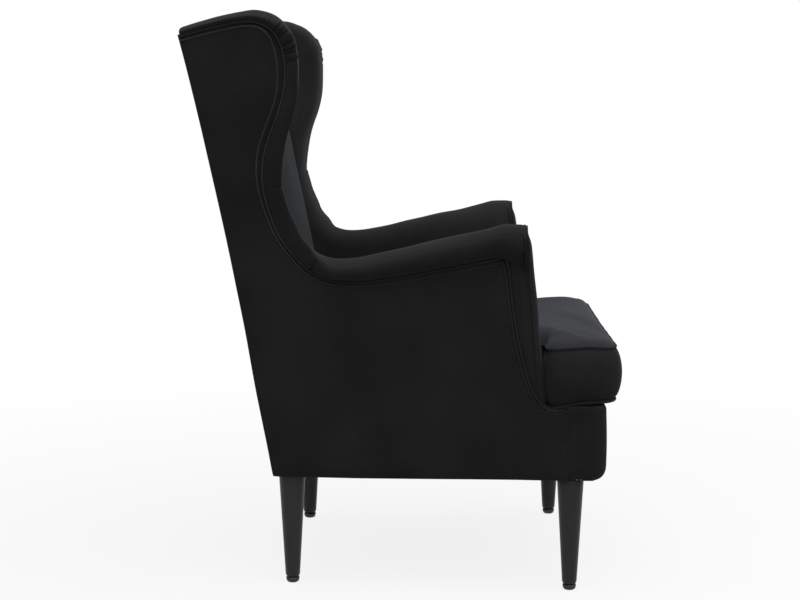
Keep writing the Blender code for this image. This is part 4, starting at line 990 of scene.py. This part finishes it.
def buildFoamAndPiping():
    # foam core, a plain filled outline inside the case
    inner = cushionOutline(-0.01, 160)
    rings = []
    pulls = (0.02, 0.5, 0.96, 1, 1, 1, 0.96, 0.7, 0.4, 0.02)
    for pull, share in zip(pulls, (0, 0, 0, 0.06, 0.5, 0.94, 1, 1, 1, 1)):
        ring = mix(np.array((0, -0.335)), inner, pull)
        low = seamZ(ring[:, 1], False) + 0.004
        high = seamZ(ring[:, 1], True) - 0.008 + crownAt(ring, inner) * 0.8 * (share == 1)
        rings.append(np.column_stack((ring, mix(low, high, share))))
    softPiece("cushionFoam", np.array(rings), foam, 1.0, ["cushion_core"], ring=True, caps=True,
              body="cushion", slot="foam")
    line = cushionOutline(0, 360)
    out = np.column_stack((outwardOf(line), 0 * line[:, 0]))
    wavy = 0.0005 * ripple(np.column_stack((line, 0 * line[:, 0])), 0.06, 71)
    for label, upper in (("Top", True), ("Bottom", False)):
        path = np.column_stack((line, seamZ(line[:, 1], upper) + wavy))
        tubePiece(f"cushionPiping{label}", path, cushion["pipingRadius"], out, 12, pipingHighlightVelvet,
                  f"cushion_welt_{label.lower()}", closed=True, body="cushion")


buildCase()
buildFoamAndPiping()
print("stage: cushion")

# Deck cloth and dust sheet
sheets = {"deckSag": 0.004, "dustSag": 0.003}


def buildSheet(name, node, startY, endY, inset, level, sag):
    # a taut cloth between the rails, with a little sag in its middle
    share = np.linspace(-1, 1, 60)
    y = np.linspace(startY, endY, 50)[:, None]
    along = np.linspace(-1, 1, 50)[:, None]
    wide = halfWidth(y, legHeight) - inset
    z = level(y) - sag * (1 - share**2) * (1 - along**2)
    made = gridPiece(name, pointsOf(wide * share, y, z), lining, (0, 0, 1), slot="lining")
    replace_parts(made, node)


buildSheet("deckCloth", "seat_deck", -0.3589, 0.1976, 0.0246, lambda y: deckZ(y) - 0.0005, sheets["deckSag"])
buildSheet("dustSheet", "dust_cover", -0.3592, 0.2375, 0.0066, lambda y: legHeight + 0.0012, sheets["dustSag"])
print("stage: sheets")

# Legs and glides, turned from a profile
legs = {"sides": 64, "tipRadius": 0.014, "restRadius": 0.0075}


def turnedPiece(name, profile, low, high, material, slot, node):
    # a profile of radius and height carried round the upright middle of a box
    radius, height = np.array(profile)[:, :, None].transpose(1, 0, 2)
    turn = np.linspace(0, 2 * pi, legs["sides"], endpoint=False)
    grid = pointsOf(radius * np.cos(turn) + (low.x + high.x) / 2, radius * np.sin(turn) + (low.y + high.y) / 2, height)
    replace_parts(gridPiece(name, grid, material, ring=True, caps=True, slot=slot), node)


for place in ("front_R", "front_L", "rear_R", "rear_L"):
    low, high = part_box(f"leg_{place}")
    topRadius, tipRadius, rest = (high.x - low.x) / 2 + 0.0006, legs["tipRadius"], legs["restRadius"]
    tip = ((0.005, 0), (0.0026, 0.0014), (0.0009, 0.0036), (0, 0.0065))
    profile = [(tipRadius - inward, low.z + up) for inward, up in tip]
    profile += [(mix(tipRadius, topRadius, t), mix(low.z + 0.0065, high.z - 0.001, t))
                for t in np.linspace(0.08, 1, 12)]
    profile += [(topRadius - 0.0006, high.z)]
    turnedPiece(f"turnedLeg_{place}", profile, low, high, lacquer, "lacquer", f"leg_{place}")
    low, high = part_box(f"glide_{place}")
    radius, tall = (high.x - low.x) / 2, (high.z - low.z) * 0.8
    cap = [(rest * 0.5, low.z), (rest, low.z)]
    cap += [(rest + (radius - rest) * sin(t), low.z + tall * (1 - cos(t)))
            for t in np.radians(np.linspace(8, 90, 9))]
    cap += [(radius, high.z)]
    turnedPiece(f"footGlide_{place}", cap, low, high, nylon, "glide", f"glide_{place}")
print("stage: legs")

# Finishes of the frame's own pieces
finishes = {
    "back_post": uprightWood, "wing_frame": uprightWood, "corner_block": uprightWood, "arm_frame": wood,
    "rail": wood, "spring": steel, "bolt": steel, "strap": jute,
}
for nodeName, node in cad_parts.items():
    if node.hide_render:
        continue
    chosen = next((m for word, m in finishes.items() if word in nodeName), wood)
    node.data.materials.clear()
    node.data.materials.append(chosen)

# Floor, lights, world and camera
studio = {"floorSize": 30, "lampPower": 232, "fillPower": 16, "ambient": 0.51, "white": (1, 1, 1, 1)}


def mixSeen(tree, ray, plain, white, output, share=None):
    # white where the camera or another ray sees it straight, the plain shader for the rest
    rays = tree.nodes.new("ShaderNodeLightPath").outputs
    seen = addNode(tree, "Math", rays["Is Camera Ray"], rays[ray], operation="MAXIMUM")
    if share:
        seen = addNode(tree, "Math", share, seen, operation="MULTIPLY")
    both = addNode(tree, "MixShader", seen, plain, white)
    setInputs(tree, tree.nodes.new(output), both)


def buildFloor():
    mesh = bpy.data.meshes.new("floor")
    half = studio["floorSize"]
    mesh.from_pydata([(-half, -half, 0), (half, -half, 0), (half, half, 0), (-half, half, 0)], [], [(0, 1, 2, 3)])
    addToScene("floor", mesh)
    material = bpy.data.materials.new("paleFloor")
    material.use_nodes = True
    tree = material.node_tree
    tree.nodes.clear()
    away = addNode(tree, "VectorMath", addNode(tree, "TexCoord", out="Object"), operation="LENGTH", out="Value")
    far = addNode(tree, "MapRange", away, 0.8, 2.2, 0.86, 1)
    diffuse = addNode(tree, "BsdfDiffuse", Color=(0.45, 0.45, 0.45, 1))
    glow = addNode(tree, "Emission", Color=studio["white"], Strength=1)
    mixSeen(tree, "Is Glossy Ray", diffuse, glow, "ShaderNodeOutputMaterial", far)
    mesh.materials.append(material)


def buildWorld():
    world = bpy.data.worlds.new("studio")
    bpy.context.scene.world = world
    world.use_nodes = True
    tree = world.node_tree
    tree.nodes.clear()
    ambient = addNode(tree, "Background", Color=(0.95, 0.97, 1, 1), Strength=studio["ambient"])
    white = addNode(tree, "Background", Color=studio["white"], Strength=1)
    mixSeen(tree, "Is Transmission Ray", ambient, white, "ShaderNodeOutputWorld")


def aim(thing, place, ahead):
    thing.location = place
    thing.rotation_euler = Vector(ahead).to_track_quat("-Z", "Y").to_euler()


def buildLamp(name, place, target, size, power):
    data = bpy.data.lights.new(name, "AREA")
    data.shape = "RECTANGLE"
    data.size, data.size_y = size
    data.energy = power
    aim(addToScene(name, data), place, Vector(target) - Vector(place))


view = {"location": (-3.8, -0.0476, 0.9792), "turn": 0.0146, "down": 0.1207, "lens": 84.15, "sensor": 36}


def buildCamera():
    data = bpy.data.cameras.new("photoView")
    data.lens, data.sensor_width = view["lens"], view["sensor"]
    camera = addToScene("photoView", data)
    turn, down = view["turn"], view["down"]
    aim(camera, view["location"], (cos(down) * cos(turn), cos(down) * sin(turn), -sin(down)))
    bpy.context.scene.camera = camera


buildFloor()
buildLamp("topLight", (-0.6, -0.5, 3.4), (0, 0, 0.5), (4.5, 4.5), studio["lampPower"])
buildLamp("sideFill", (-4.5, -1.5, 1.8), (0, 0, 0.6), (3, 2.5), studio["fillPower"])
buildWorld()
buildCamera()
bpy.context.scene.view_settings.view_transform = "Standard"
print("stage: studio")
